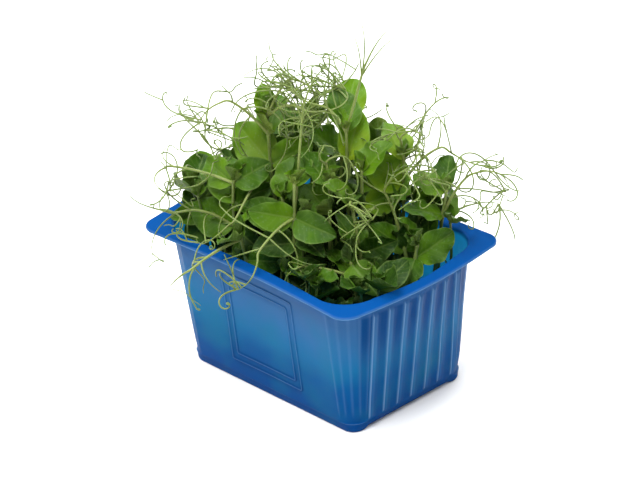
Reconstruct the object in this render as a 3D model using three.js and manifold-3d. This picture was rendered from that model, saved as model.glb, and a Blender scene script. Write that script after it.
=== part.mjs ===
// A tray of pea shoots: a thermoformed tray, its growing medium and the shoots that stand in it.
// Millimetres, +Z up. The origin is the middle of the tray's underside, X runs along its long side.

import * as THREE from "three";
import Module from "manifold-3d";
import { mergeVertices } from "three/addons/utils/BufferGeometryUtils.js";

const wasm = await Module();
wasm.setup();

// ---------------------------------------------------------------- driving dimensions

const tray = {
  length: 187, // over the flange
  width: 137,
  height: 97,
  flange: 8.5, // from the flange's edge to the outside of the wall
  lip: 1.9, // how far the flange's edge turns down
  taper: 11, // how far the wall leans in on each side between rim and base
  wall: 1.1,
  rimRadius: 12, // flange corner
  topRadius: 24, // wall corner under the flange
  baseRadius: 13, // wall corner above the step
  footRadius: 8,
  stepHeight: 6.5,
  stepInset: 1.3,
  archHeight: 1.6, // clearance under the short sides, between the corner feet
  bowLong: 3.2, // the filled tray's long rims pull in, its short rims bulge out
  bowShort: 4.6,
};

// A rib has a flat crest, a steep flank on one side and a gentle one on the other.
const rib = { count: 7, pitch: 11.8, bottom: 7.4, top: 86, steep: -2, crest: 1.2, gentle: 4.2, proud: 1.3 };

const frame = {
  outer: { halfLength: 31, bottom: 17, top: 81.5 },
  inner: { halfLength: 26, bottom: 22.5, top: 76 },
  halfWidth: 0.9,
  proud: 0.6,
};

const medium = {
  top: 40,
  bottom: 3.2, // the tray's arched floor stays clear below it
  wallGap: 0.45,
  rings: [0.8, 0.52, 0.24], // lattice rings as parts of the outline
  reliefHeight: 1.3,
};

const pea = { radius: 3.7, rootLength: 13, rootRadius: 1.5, rootTipRadius: 0.3 };

// The four-sided hole round a pea narrows downwards.
const pit = { radius: 6.4, depth: 17, tipRadius: 0.2, sides: 4, above: 5 };

const stem = { footRadius: 1.5, tipRadius: 1, sides: 4, steps: 5, lastNode: 0.975 };
const stalk = { rootRadius: 1.05, steps: 3, shift: 1.6 };

const tendril = { rootRadius: 0.65, tipRadius: 0.45, sides: 3, steps: 5 };

// A stalk's first pair of tendrils leaves it rootGap from its end and splays less than the others.
// Most tendrils curl outward, about an axis tilted by up to half of tilt.
const fork = { rootGap: 3, firstSplay: 0.45, outward: 0.85, tilt: 90 };

const blade = {
  thickness: 0.8,
  taper: 0.82, // below 1 the blade is widest nearer its root
  fullness: 0.6, // the smaller, the rounder
  fold: 0.24, // how far the halves rise from the midrib, as a part of their reach
  droop: 0.16, // how far the tip hangs, as a part of the length
  wave: 1.1,
  waves: 2.2,
  stops: [0.18, 0.5, 0.82], // where the outline has its corners, as parts of the length
  turn: 14, // degrees by which a leaf with no room turns away
  climb: 0.4,
  shrink: 0.015,
};

// How the shoots keep clear of each other: points this far apart each keep half a distance round them.
const clearance = {
  spacing: 2,
  ownReach: 9, // within this of their common root a shoot's own parts may meet
  stem: 1.9,
  tendril: 1.05,
  blade: 1.45,
  bladeParts: [0.15, 0.26, 0.38, 0.5, 0.62, 0.74, 0.86, 0.96],
  bladeSides: [-1, -0.67, -0.33, 0, 0.33, 0.67, 1],
  attempts: 16,
  leafAttempts: 24,
};

// ---------------------------------------------------------------- solids and meshes

const colours = {
  plastic: [0x1560b8, 0.35],
  peat: [0x3a2a1e, 0.95],
  leaf: [0x5f9a32, 0.55],
};

function solidOf(points, faces) {
  const vertProperties = new Float32Array(points.flatMap((point) => [point.x, point.y, point.z]));
  const triVerts = new Uint32Array(faces.flat());
  return new wasm.Manifold(new wasm.Mesh({ numProp: 3, vertProperties, triVerts }));
}

function meshOf(name, solid, [color, roughness]) {
  const { vertProperties, triVerts } = solid.getMesh();
  const geometry = new THREE.BufferGeometry();
  geometry.setAttribute("position", new THREE.BufferAttribute(vertProperties, 3));
  geometry.setIndex(new THREE.BufferAttribute(triVerts, 1));
  geometry.computeVertexNormals();
  const mesh = new THREE.Mesh(geometry, new THREE.MeshStandardMaterial({ color, roughness, metalness: 0 }));
  mesh.name = name;
  return mesh;
}

const joined = (solids) => solids.reduce((whole, solid) => whole.add(solid));

const mix = (from, to, part) => from + (to - from) * part;

// Skins a row of equal rings, each counter-clockwise, so that the faces look to the right of the way along.
function skin(rings, start) {
  const count = rings[0].length;
  const faces = [];
  for (let row = 0; row + 1 < rings.length; row += 1) {
    for (let column = 0; column < count; column += 1) {
      const next = (column + 1) % count;
      const [a, b] = [start + row * count + column, start + row * count + next];
      faces.push([a, a + count, b + count], [a, b + count, b]);
    }
  }
  return faces;
}

// A tube with flat ends. Its rings are counter-clockwise as seen from where it ends.
function cappedSkin(rings) {
  const count = rings[0].length;
  const last = (rings.length - 1) * count;
  const caps = [];
  for (let corner = 1; corner + 1 < count; corner += 1) {
    caps.push([0, corner, corner + 1]);
    caps.push([last, last + corner + 1, last + corner]);
  }
  const faces = [...skin(rings, 0), ...caps].map(([a, b, c]) => [a, c, b]);
  return solidOf(rings.flat(), faces);
}

// Skins rings from a first centre point to a last one.
function closedSkin(first, rings, last) {
  const count = rings[0].length;
  const end = 1 + rings.length * count;
  const faces = skin(rings, 1);
  for (let column = 0; column < count; column += 1) {
    const next = (column + 1) % count;
    faces.push([0, 1 + column, 1 + next]);
    faces.push([end, end - count + next, end - count + column]);
  }
  return solidOf([first, ...rings.flat(), last], faces);
}

// ---------------------------------------------------------------- tray

const shortStops = [-0.84, -0.42, 0, 0.42, 0.84]; // points along a side, as parts of its straight half length
const longStops = [-0.72, -0.36, 0, 0.36, 0.72];
const cornerSteps = 4;
const plainCornerSteps = 2;

// A side's outward direction, its direction along the rim, its half size, and how far its rim bows out.
function sideOf(side) {
  const angle = (side * Math.PI) / 2;
  const isShort = side % 2 === 0;
  return {
    out: new THREE.Vector3(Math.round(Math.cos(angle)), Math.round(Math.sin(angle)), 0),
    along: new THREE.Vector3(-Math.round(Math.sin(angle)), Math.round(Math.cos(angle)), 0),
    half: (isShort ? tray.length : tray.width) / 2,
    halfAlong: (isShort ? tray.width : tray.length) / 2,
    bow: isShort ? tray.bowShort : -tray.bowLong,
    isShort,
  };
}

// A rounded rectangle inside the flange's outline: bow fades the rims' curves, arch lifts the short sides.
function ring({ inset, radius, z, bow = 0, arch = 0, steps = cornerSteps }) {
  return [0, 1, 2, 3].flatMap((number) => {
    const side = sideOf(number);
    const straight = side.halfAlong - inset - radius;
    const reach = side.half - inset;
    const points = (side.isShort ? shortStops : longStops).map((stop) =>
      side.out
        .clone()
        .multiplyScalar(reach + side.bow * bow * Math.cos((stop * Math.PI) / 2))
        .addScaledVector(side.along, stop * straight)
        .setZ(z + (side.isShort ? arch * tray.archHeight : 0)));
    for (let step = 0; step <= steps; step += 1) {
      const turn = (step / steps) * (Math.PI / 2);
      points.push(side.out
        .clone()
        .multiplyScalar(reach - radius + radius * Math.cos(turn))
        .addScaledVector(side.along, straight + radius * Math.sin(turn))
        .setZ(z));
    }
    return points;
  });
}

const wallInset = (z) => tray.flange + tray.taper * (1 - z / tray.height);
const wallRadius = (z) => mix(tray.baseRadius, tray.topRadius, z / tray.height);

const wallRing = (z, inwards, steps) =>
  ring({ inset: wallInset(z) + inwards, radius: wallRadius(z) - inwards, z, bow: z / tray.height, steps });

const footInset = wallInset(tray.stepHeight) + tray.stepInset;
const underInset = footInset + 9; // where the arch under the short sides ends

// The two rings of the floor that carry the arch over, and the ring at the foot of the wall.
function floorRings(z, gap) {
  return [
    ring({ inset: underInset + 2, radius: tray.footRadius, z }),
    ring({ inset: underInset, radius: tray.footRadius, z, arch: 1 }),
    ring({ inset: footInset + gap, radius: tray.footRadius, z, arch: 1 }),
  ];
}

function trayShell() {
  const { height, wall, flange, lip, rimRadius, topRadius, footRadius, stepHeight } = tray;
  const rim = (inset, radius, z) => ring({ inset, radius, z, bow: 1 });
  const inside = [
    ...floorRings(wall, wall),
    wallRing(stepHeight + 1, wall),
    wallRing(medium.top + 2, wall),
    wallRing(height - 1.5, wall),
  ];
  const flangeRings = [
    rim(flange + 0.3, topRadius, height),
    rim(0.9, rimRadius - 0.9, height),
    rim(0, rimRadius, height - 1),
    rim(0, rimRadius, height - lip),
    rim(wall, rimRadius - wall, height - lip),
    rim(wall, rimRadius - wall, height - wall),
  ];
  const outside = [
    wallRing(height - wall, 0),
    wallRing(stepHeight, 0),
    ring({ inset: footInset, radius: footRadius, z: stepHeight - 1 }),
    ring({ inset: footInset + 0.4, radius: footRadius, z: 1.2, arch: 1 }),
    ...floorRings(0, 1.5).reverse(),
  ];
  const rings = [...inside, ...flangeRings, ...outside];
  return closedSkin(new THREE.Vector3(0, 0, wall), rings, new THREE.Vector3());
}

// A point on the outside of a wall: mm along it from its middle, height, and mm proud of it.
function wallPoint(side, along, z, proud) {
  const straight = side.halfAlong - wallInset(z) - wallRadius(z);
  const stop = THREE.MathUtils.clamp(along / straight, -1, 1);
  const bulge = side.bow * (z / tray.height) * Math.cos((stop * Math.PI) / 2);
  return side.out
    .clone()
    .multiplyScalar(side.half - wallInset(z) + bulge + proud)
    .addScaledVector(side.along, along)
    .setZ(z);
}

const sunk = -0.6; // how deep ribs and beads root in the wall

function ribSolid(side, along) {
  const slice = (z, height) => [
    wallPoint(side, along + rib.steep, z, sunk),
    wallPoint(side, along - rib.crest, z, height),
    wallPoint(side, along + rib.crest, z, height),
    wallPoint(side, along + rib.gentle, z, sunk),
  ];
  return cappedSkin([
    slice(rib.bottom, sunk / 2),
    slice(rib.bottom + 2, rib.proud),
    slice(rib.top - 4, rib.proud),
    slice(rib.top, sunk / 2),
  ]);
}

// A raised bead round a rectangle on a long wall.
function beadSolid(side, { halfLength, bottom, top }) {
  const loop = (grow, proud) => {
    const reach = halfLength + grow;
    const across = [-1, -0.5, 0, 0.5, 1].map((part) => part * reach);
    return [
      ...across.map((along) => wallPoint(side, along, bottom - grow, proud)),
      ...across.reverse().map((along) => wallPoint(side, along, top + grow, proud)),
    ];
  };
  const half = frame.halfWidth;
  const crest = half * 0.4;
  const rings = [loop(-half, sunk), loop(-crest, frame.proud), loop(crest, frame.proud), loop(half, sunk)];
  const points = rings.flat();
  const faces = skin([...rings, rings[0]], 0).map((face) => face.map((index) => index % points.length));
  return solidOf(points, faces);
}

function traySolid() {
  const ribs = [0, 2].flatMap((number) => {
    const side = sideOf(number);
    const places = Array.from({ length: rib.count }, (_, index) => (index - (rib.count - 1) / 2) * rib.pitch);
    return places.map((along) => ribSolid(side, along));
  });
  const beads = [1, 3].flatMap((number) => [
    beadSolid(sideOf(number), frame.outer),
    beadSolid(sideOf(number), frame.inner),
  ]);
  return joined([trayShell(), ...ribs, ...beads]);
}

// ---------------------------------------------------------------- growth rule

const degrees = Math.PI / 180;
const worldUp = new THREE.Vector3(0, 0, 1);

// Park and Miller's generator: the same seed always gives the same row of numbers from 0 to 1.
function makeRandom(seed) {
  const modulus = 2147483647;
  let state = (seed * 7919 + 104729) % modulus;
  const next = () => {
    state = (state * 16807) % modulus;
    return state / modulus;
  };
  next();
  next();
  return next;
}

function heading(azimuth, elevation) {
  const level = Math.cos(elevation * degrees);
  return new THREE.Vector3(
    level * Math.cos(azimuth * degrees),
    level * Math.sin(azimuth * degrees),
    Math.sin(elevation * degrees),
  );
}

// A straight line with a bow in it, in so many steps.
function bowedPath(from, to, bow, steps) {
  return Array.from({ length: steps + 1 }, (_, index) => {
    const part = index / steps;
    return from.clone().lerp(to, part).addScaledVector(bow, Math.sin(Math.PI * part));
  });
}

// A tendril: each step turns further about the axis than the last, and sags.
function tendrilPath(start, direction, axis, { reach, curl, sag }) {
  const points = [start.clone()];
  const way = direction.clone().normalize();
  for (let step = 0; step < tendril.steps; step += 1) {
    const tightening = 0.25 + (1.5 * step) / (tendril.steps - 1);
    way.applyAxisAngle(axis, curl * tightening * degrees);
    way.z -= sag / tendril.steps;
    way.normalize();
    points.push(points[step].clone().addScaledVector(way, reach / tendril.steps));
  }
  return points;
}

// A leaf blade as a function: the point at a part of its length and at a side from -1 to 1.
function bladeFrame({ root, azimuth, elevation, roll, length, width, flutter }) {
  const along = heading(azimuth, elevation);
  const face = heading(azimuth, elevation + 90).applyAxisAngle(along, roll * degrees);
  const across = new THREE.Vector3().crossVectors(face, along);
  return (part, side) => {
    const outline = Math.pow(Math.sin(Math.PI * Math.pow(part, blade.taper)), blade.fullness);
    const reach = outline * (width / 2) * side;
    const phase = 2 * Math.PI * (blade.waves * part + flutter) + side;
    const ripple = blade.wave * Math.sin(phase) * Math.abs(side) * part;
    const rise = Math.abs(reach) * blade.fold - length * blade.droop * part * part + ripple;
    return root
      .clone()
      .addScaledVector(along, length * part)
      .addScaledVector(across, reach)
      .addScaledVector(face, rise);
  };
}

// What stands where: points with the room that each keeps round it, and the shoot that owns them.
// A shoot's own parts may meet near their common root, and anywhere along the stem.
const taken = [];

function isClear(points, keep, owner, root) {
  return points.every((point) => {
    const isAtRoot = point.distanceTo(root) < clearance.ownReach;
    const mayMeet = (other) => other.owner === owner && (isAtRoot || other.isStem);
    const isApart = (other) => point.distanceTo(other.point) > keep + other.keep;
    return isClearOfTray(point, keep) && taken.every((other) => mayMeet(other) || isApart(other));
  });
}

function take(points, keep, owner, isStem = false) {
  points.forEach((point) => taken.push({ point, keep, owner, isStem }));
}

// How far a point lies outside the flange's outline, negative inside it.
function outsideRim({ x, y, z }) {
  const bow = Math.max(z, 0) / tray.height;
  const bulge = (across, half) => bow * Math.cos((Math.min(Math.abs(across) / half, 1) * Math.PI) / 2);
  const [halfLength, halfWidth] = [tray.length / 2, tray.width / 2];
  return Math.max(
    Math.abs(x) - halfLength - tray.bowShort * bulge(y, halfWidth - tray.flange),
    Math.abs(y) - halfWidth + tray.bowLong * bulge(x, halfLength - tray.rimRadius),
  );
}

// Inside the wall more room is kept, for its rounded corners, and above the medium for its relief.
function isClearOfTray(point, keep) {
  const outside = outsideRim(point);
  if (point.z > tray.height + keep || outside > keep) {
    return true;
  }
  const wall = -wallInset(point.z);
  if (outside < wall - tray.wall - keep - 2) {
    return point.z > medium.top + 3;
  }
  return outside > wall + keep && point.z < tray.height - tray.lip - keep;
}

// Points every few millimetres along a path.
function samples(path) {
  return path.slice(1).flatMap((to, index) => {
    const from = path[index];
    const count = Math.ceil(from.distanceTo(to) / clearance.spacing);
    return Array.from({ length: count }, (_, step) => from.clone().lerp(to, (step + 1) / count));
  });
}

const bladeSamples = (at) =>
  clearance.bladeParts.flatMap((part) => clearance.bladeSides.map((side) => at(part, side)));

// ---------------------------------------------------------------- shoots

// Each shoot stands with its foot at [x, y] in the medium and grows to its tip at [x, y, z].
// bow is the stem's sideways bend. A node sits at a part of the stem. Its leaves are [azimuth, elevation,
// roll, length, width], and its sprays are leaf stalks that reach to a point and part there into tendrils.
// lift is the stalk's upward bend, fan the azimuth across which the tendrils spread, and gap the distance
// from one pair of them to the next, as in sprayHabit unless a spray has its own.
const sprayHabit = { lift: 3, fan: 46, gap: 8 };

const shoots = [
  {
    // front middle, one stalk over the rim and one straight up
    foot: [-2, -22],
    tip: [10, -28, 146],
    bow: [2, -3],
    nodes: [
      {
        at: 0.6,
        leaves: [[250, 10, -45, 26, 20]],
        sprays: [],
      },
      {
        at: 0.77,
        leaves: [[245, 20, -80, 29, 20], [10, -10, 65, 29, 20]],
        sprays: [
          { to: [8, -59, 110], lift: 3, tendrils: 5, reach: 36, spread: 100, curl: 12, sag: 0.7 },
          { to: [7, -15, 190], lift: 0, tendrils: 4, reach: 30, spread: 20, curl: 8, sag: 0, gap: 4 },
        ],
      },
      { at: 1, leaves: [[120, 35, 45, 26, 13]], sprays: [] },
    ],
  },
  {
    // front right
    foot: [38, 0],
    tip: [36, -5, 128],
    bow: [5, -2],
    nodes: [
      { at: 0.46, leaves: [[185, 20, -25, 32, 20], [295, -35, -20, 30, 24]], sprays: [] },
      { at: 0.66, leaves: [[140, 40, -10, 33, 25], [80, 5, 80, 28, 20]], sprays: [] },
      {
        at: 1,
        leaves: [[165, 35, 0, 30, 19]],
        sprays: [
          { to: [50, -20, 142], lift: 4, tendrils: 3, reach: 26, spread: 50, curl: 24, sag: 0.2 },
        ],
      },
    ],
  },
  {
    // thick stem at the right
    foot: [57, 22],
    tip: [46, 19, 124],
    bow: [4, 1],
    nodes: [
      { at: 0.46, leaves: [[175, 25, -20, 34, 26], [35, 30, 50, 28, 22]], sprays: [] },
      { at: 0.64, leaves: [[90, 50, 85, 32, 20], [230, 50, -40, 27, 18]], sprays: [] },
      {
        at: 1,
        leaves: [],
        sprays: [
          { to: [46, 13, 137], lift: 0, tendrils: 6, reach: 32, spread: 80, curl: 10, sag: 0.4 },
        ],
      },
    ],
  },
  {
    // right, level leaves
    foot: [58, 34],
    tip: [70, 43, 134],
    bow: [-2, 2],
    nodes: [
      {
        at: 0.8,
        leaves: [[240, 25, -30, 28, 17], [65, 0, 85, 31, 22]],
        sprays: [
          { to: [80, 52, 143], fan: 60, tendrils: 5, reach: 32, spread: 60, curl: 14, sag: 0.5 },
        ],
      },
      { at: 1, leaves: [[130, 40, -15, 26, 16], [185, 20, -35, 24, 16]], sprays: [] },
    ],
  },
  {
    // back right
    foot: [34, 28],
    tip: [44, 33, 152],
    bow: [0, 3],
    nodes: [
      {
        at: 0.84,
        leaves: [[240, 35, -70, 30, 24], [10, -10, 70, 28, 20]],
        sprays: [
          { to: [56, 54, 154], lift: 4, tendrils: 5, reach: 30, spread: 110, curl: 14, sag: 1.2 },
        ],
      },
      {
        at: 1,
        leaves: [[145, 40, -5, 28, 22], [195, 10, -35, 26, 20]],
        sprays: [
          { to: [46, 29, 167], lift: 0, tendrils: 4, reach: 24, spread: 70, curl: 26, sag: 0.5 },
        ],
      },
    ],
  },
  {
    // the tallest, a straight stalk on top
    foot: [14, 8],
    tip: [18, 10, 172],
    bow: [2, -1],
    nodes: [
      { at: 0.83, leaves: [[100, 60, 40, 32, 20], [195, 45, -70, 31, 24]], sprays: [] },
      {
        at: 1,
        leaves: [[145, 45, 10, 31, 23], [70, 15, 65, 28, 21]],
        sprays: [
          { to: [24, 21, 209], lift: 0, tendrils: 5, reach: 30, spread: 14, curl: 4, sag: 0, gap: 1 },
          { to: [9, 1, 187], fan: 226, tendrils: 2, reach: 26, spread: 60, curl: 16, sag: 0.5 },
        ],
      },
    ],
  },
  {
    // top left, arching sprays
    foot: [-26, 0],
    tip: [-29, -12, 176],
    bow: [-3, -2],
    nodes: [
      {
        at: 0.72,
        leaves: [[195, 45, -50, 33, 27], [35, 30, 85, 30, 22]],
        sprays: [
          { to: [-24, -48, 117], fan: 210, tendrils: 4, reach: 34, spread: 80, curl: 12, sag: 1 },
        ],
      },
      {
        at: 0.88,
        leaves: [[120, 35, -5, 30, 20], [165, 35, -15, 26, 17]],
        sprays: [
          { to: [-40, -33, 188], fan: 226, tendrils: 5, reach: 30, spread: 90, curl: 10, sag: 0.9 },
        ],
      },
      {
        at: 1,
        leaves: [[150, 65, -10, 20, 14]],
        sprays: [
          { to: [-15, -5, 200], tendrils: 6, reach: 40, spread: 110, curl: 14, sag: 1 },
          { to: [2, -6, 184], lift: 6, tendrils: 3, reach: 32, spread: 70, curl: 20, sag: 0.5 },
        ],
      },
    ],
  },
  {
    // left
    foot: [-42, -22],
    tip: [-36, -37, 136],
    bow: [-4, -2],
    nodes: [
      {
        at: 0.62,
        leaves: [[220, 15, -60, 31, 26], [0, -25, 60, 26, 18]],
        sprays: [
          { to: [-68, -60, 111], lift: 6, fan: 226, tendrils: 4, reach: 30, spread: 50, curl: 12, sag: 0.5 },
        ],
      },
      { at: 0.8, leaves: [[145, 40, -5, 34, 28], [85, 10, 65, 28, 20]], sprays: [] },
      {
        at: 1,
        leaves: [[85, 15, 60, 28, 22], [195, 10, -65, 28, 20]],
        sprays: [
          { to: [-75, -54, 139], lift: 2, fan: 226, tendrils: 4, reach: 26, spread: 60, curl: 20, sag: 0.6 },
        ],
      },
    ],
  },
  {
    // its stalk hangs out over the front rim's left
    foot: [-20, -30],
    tip: [-16, -52, 110],
    bow: [0, -2],
    nodes: [
      { at: 0.72, leaves: [[25, 5, 75, 24, 18], [170, 10, -60, 24, 18]], sprays: [] },
      {
        at: 0.96,
        leaves: [[300, 15, 30, 22, 15], [200, 20, -40, 24, 16]],
        sprays: [
          { to: [-24, -87, 98], lift: 2, fan: 180, tendrils: 5, reach: 28, spread: 60, curl: 16, sag: 1.3, gap: 5 },
        ],
      },
    ],
  },
  {
    // far left, a leaf on the flange
    foot: [-58, -20],
    tip: [-60, -32, 112],
    bow: [-2, 0],
    nodes: [
      { at: 0.86, leaves: [[230, 0, -50, 29, 16], [255, -40, -30, 27, 20]], sprays: [] },
      { at: 1, leaves: [[190, 15, -50, 27, 20], [125, 35, 10, 27, 20]], sprays: [] },
    ],
  },
  {
    // behind the front middle
    foot: [-8, -10],
    tip: [-5, -25, 130],
    bow: [0, -2],
    nodes: [
      { at: 0.78, leaves: [[190, 15, -50, 31, 23], [80, 5, 65, 28, 20]], sprays: [] },
      { at: 1, leaves: [[140, 40, 0, 33, 21], [95, 25, 60, 26, 18]], sprays: [] },
    ],
  },
  {
    // middle, a dense tangle
    foot: [20, -14],
    tip: [20, -8, 142],
    bow: [2, -2],
    nodes: [
      { at: 0.45, leaves: [[255, 0, -60, 28, 22], [30, 25, 80, 26, 20]], sprays: [] },
      { at: 0.8, leaves: [[175, 25, -35, 28, 20], [75, 5, 65, 26, 19]], sprays: [] },
      {
        at: 1,
        leaves: [[155, 35, -15, 28, 22]],
        sprays: [
          { to: [16, -6, 154], lift: 0, tendrils: 5, reach: 28, spread: 85, curl: 34, sag: 0.6 },
        ],
      },
    ],
  },
  {
    // middle right
    foot: [30, 12],
    tip: [32, 8, 148],
    bow: [0, -2],
    nodes: [
      { at: 0.78, leaves: [[170, 30, -30, 28, 20], [75, 0, 70, 28, 20]], sprays: [] },
      { at: 1, leaves: [[105, 30, 30, 30, 24], [170, 30, -30, 28, 20]], sprays: [] },
    ],
  },
  {
    // low at the front
    foot: [48, -16],
    tip: [46, -18, 100],
    bow: [2, 0],
    nodes: [
      {
        at: 0.82,
        leaves: [[80, 5, 65, 27, 20]],
        sprays: [
          { to: [28, -42, 100], lift: 2, fan: 226, tendrils: 4, reach: 26, spread: 60, curl: 22, sag: 0.3 },
        ],
      },
      { at: 1, leaves: [[145, 35, 5, 27, 19], [355, -25, 35, 25, 20]], sprays: [] },
    ],
  },
  {
    // low at the right rim
    foot: [62, 8],
    tip: [69, 17, 106],
    bow: [0, 0],
    nodes: [
      { at: 0.86, leaves: [[55, 15, 75, 30, 22], [305, -35, 0, 26, 20]], sprays: [] },
      { at: 1, leaves: [[100, 25, 35, 26, 20]], sprays: [] },
    ],
  },
];

// The shoots behind and between them, drawn by rule: foot and height of the tip.
const plainShoots = [
  { foot: [-50, 26], height: 130 },
  { foot: [-32, 10], height: 156 },
  { foot: [-24, 32], height: 148 },
  { foot: [-2, 24], height: 166 },
  { foot: [12, 38], height: 146 },
  { foot: [-58, 4], height: 122 },
  { foot: [42, 42], height: 114 },
];

const plainSpray = { tendrils: 2, reach: 30, spread: 60, curl: 16, sag: 0.6 };

function plainShoot({ foot, height }, number) {
  const random = makeRandom(number);
  const [x, y] = foot;
  const outward = Math.atan2(y, x) / degrees;
  const node = (at, turn, hasSpray) => {
    const azimuth = outward + turn + 50 * (random() - 0.5);
    const reach = heading(azimuth, 20 + 45 * random()).multiplyScalar(20 + 12 * random());
    const leaf = (side) => [
      azimuth + side * (60 + 30 * random()),
      20 + 40 * random(),
      50 * (random() - 0.5),
      27 + 7 * random(),
      21 + 5 * random(),
    ];
    const spray = { ...plainSpray, by: reach.toArray(), fan: azimuth + 90 };
    return { at, leaves: [leaf(1), leaf(-1)], sprays: hasSpray ? [spray] : [] };
  };
  return {
    foot,
    tip: [x * 1.2 + 10 * (random() - 0.5), y * 1.2 + 10 * (random() - 0.5), height],
    bow: [6 * (random() - 0.5), 6 * (random() - 0.5)],
    nodes: [node(0.42, 90, false), node(0.6, 180, false), node(0.8, 0, true), node(1, 120, false)],
  };
}

const stemPoint = ({ foot, tip, bow }, part) =>
  new THREE.Vector3(foot[0], foot[1], medium.top)
    .lerp(new THREE.Vector3(...tip), part)
    .addScaledVector(new THREE.Vector3(...bow, 0), Math.sin(Math.PI * part));

const stemPath = (shoot) =>
  Array.from({ length: stem.steps + 1 }, (_, step) => stemPoint(shoot, step / stem.steps));

// The point at a distance back from the end of a path, and the way the path runs there.
function pointBack(path, distance) {
  let left = distance;
  let step = path.length - 1;
  while (step > 1 && left > path[step].distanceTo(path[step - 1])) {
    left -= path[step].distanceTo(path[step - 1]);
    step -= 1;
  }
  const forward = path[step].clone().sub(path[step - 1]).normalize();
  return { start: path[step].clone().addScaledVector(forward, -left), forward };
}

// Tendrils leave the stalk in pairs, the first pair near its end and the next ones further back.
function growTendrils({ spray, path }, owner, random) {
  const grown = [];
  for (let number = 0; number < spray.tendrils; number += 1) {
    const side = number % 2 === 0 ? 1 : -1;
    const pair = Math.floor(number / 2);
    const { start, forward } = pointBack(path, number === 0 ? 0 : pair * spray.gap + fork.rootGap);
    const across = heading(spray.fan, 0);
    across.addScaledVector(forward, -across.dot(forward)).normalize();
    const spread = spray.spread * (pair === 0 ? fork.firstSplay : 1) * degrees;
    for (let attempt = 0; attempt < clearance.attempts; attempt += 1) {
      const splay = spread * (0.7 + 0.6 * random());
      const way = forward
        .clone()
        .multiplyScalar(Math.cos(splay))
        .addScaledVector(across, side * Math.sin(splay));
      const tilt = fork.tilt * (random() - 0.5) * degrees;
      const axis = new THREE.Vector3().crossVectors(forward, across).applyAxisAngle(way, tilt);
      const turn = random() < fork.outward ? side : -side;
      const curl = spray.curl * turn * (0.7 + 0.6 * random());
      const reach = spray.reach * (0.7 + 0.5 * random());
      const points = tendrilPath(start, way, axis, { reach, curl, sag: spray.sag });
      if (isClear(samples(points), clearance.tendril, owner, start)) {
        take(samples(points), clearance.tendril, owner);
        grown.push(points);
        break;
      }
    }
  }
  return grown;
}

function growStalk(own, root, owner, random) {
  const spray = { ...sprayHabit, ...own };
  for (let attempt = 0; attempt < clearance.attempts; attempt += 1) {
    const shift = new THREE.Vector3(random() - 0.5, random() - 0.5, random() - 0.5);
    const to = spray.to ? new THREE.Vector3(...spray.to) : root.clone().add(new THREE.Vector3(...spray.by));
    to.addScaledVector(shift, stalk.shift * attempt);
    const path = bowedPath(root, to, worldUp.clone().multiplyScalar(spray.lift), stalk.steps);
    if (isClear(samples(path), clearance.tendril, owner, root)) {
      take(samples(path), clearance.tendril, owner);
      return [{ spray, path }];
    }
  }
  return [];
}

function growLeaf([azimuth, elevation, roll, length, width], root, owner, random) {
  const flutter = random();
  for (let attempt = 0; attempt < clearance.leafAttempts; attempt += 1) {
    const side = attempt % 2 === 0 ? 1 : -1;
    const turned = Math.ceil(attempt / 2) * blade.turn;
    const size = 1 - blade.shrink * attempt;
    const at = bladeFrame({
      root: root.clone().addScaledVector(heading(azimuth, elevation), stem.tipRadius * 0.6),
      azimuth: azimuth + side * turned,
      elevation: elevation + turned * blade.climb,
      roll,
      length: length * size,
      width: width * size,
      flutter,
    });
    const points = bladeSamples(at);
    if (isClear(points, clearance.blade, owner, root)) {
      take(points, clearance.blade, owner);
      return [at];
    }
  }
  return [];
}

// Stems come first, then leaf stalks, then leaves, then tendrils, which find their way between the rest.
function growAll(shoots) {
  const plants = shoots.map((shoot) => ({ shoot, stem: stemPath(shoot) }));
  const rootOf = (shoot, node) => stemPoint(shoot, Math.min(node.at, stem.lastNode));
  plants.forEach((plant, owner) => take(samples(plant.stem), clearance.stem, owner, true));
  plants.forEach((plant, owner) => {
    const random = makeRandom(owner + 100);
    plant.stalks = plant.shoot.nodes.flatMap((node) =>
      node.sprays.flatMap((spray) => growStalk(spray, rootOf(plant.shoot, node), owner, random)));
  });
  plants.forEach((plant, owner) => {
    const random = makeRandom(owner + 200);
    plant.leaves = plant.shoot.nodes.flatMap((node) =>
      node.leaves.flatMap((leaf) => growLeaf(leaf, rootOf(plant.shoot, node), owner, random)));
  });
  plants.forEach((plant, owner) => {
    const random = makeRandom(owner + 300);
    plant.sprays = plant.stalks.map((grown) => {
      const [leader, ...tendrils] = growTendrils(grown, owner, random);
      return { path: leader ? [...grown.path, ...leader.slice(1)] : grown.path, tendrils };
    });
  });
  return plants;
}

// ---------------------------------------------------------------- shoot solids

// A tapered tube along a path, its section carried along without twisting.
function tubeSolid(path, { rootRadius, tipRadius, sides }) {
  const tangents = path.map((point, index) => {
    const [before, after] = [path[Math.max(index - 1, 0)], path[Math.min(index + 1, path.length - 1)]];
    return after.clone().sub(before).normalize();
  });
  const first = Math.abs(tangents[0].z) < 0.9 ? worldUp : new THREE.Vector3(1, 0, 0);
  let across = first.clone();
  const rings = path.map((point, index) => {
    across = across.addScaledVector(tangents[index], -across.dot(tangents[index])).normalize();
    const other = new THREE.Vector3().crossVectors(tangents[index], across);
    const radius = mix(rootRadius, tipRadius, index / (path.length - 1));
    return Array.from({ length: sides }, (_, corner) => {
      const turn = (2 * Math.PI * corner) / sides;
      return point
        .clone()
        .addScaledVector(across, radius * Math.cos(turn))
        .addScaledVector(other, radius * Math.sin(turn));
    });
  });
  return cappedSkin(rings);
}

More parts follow.
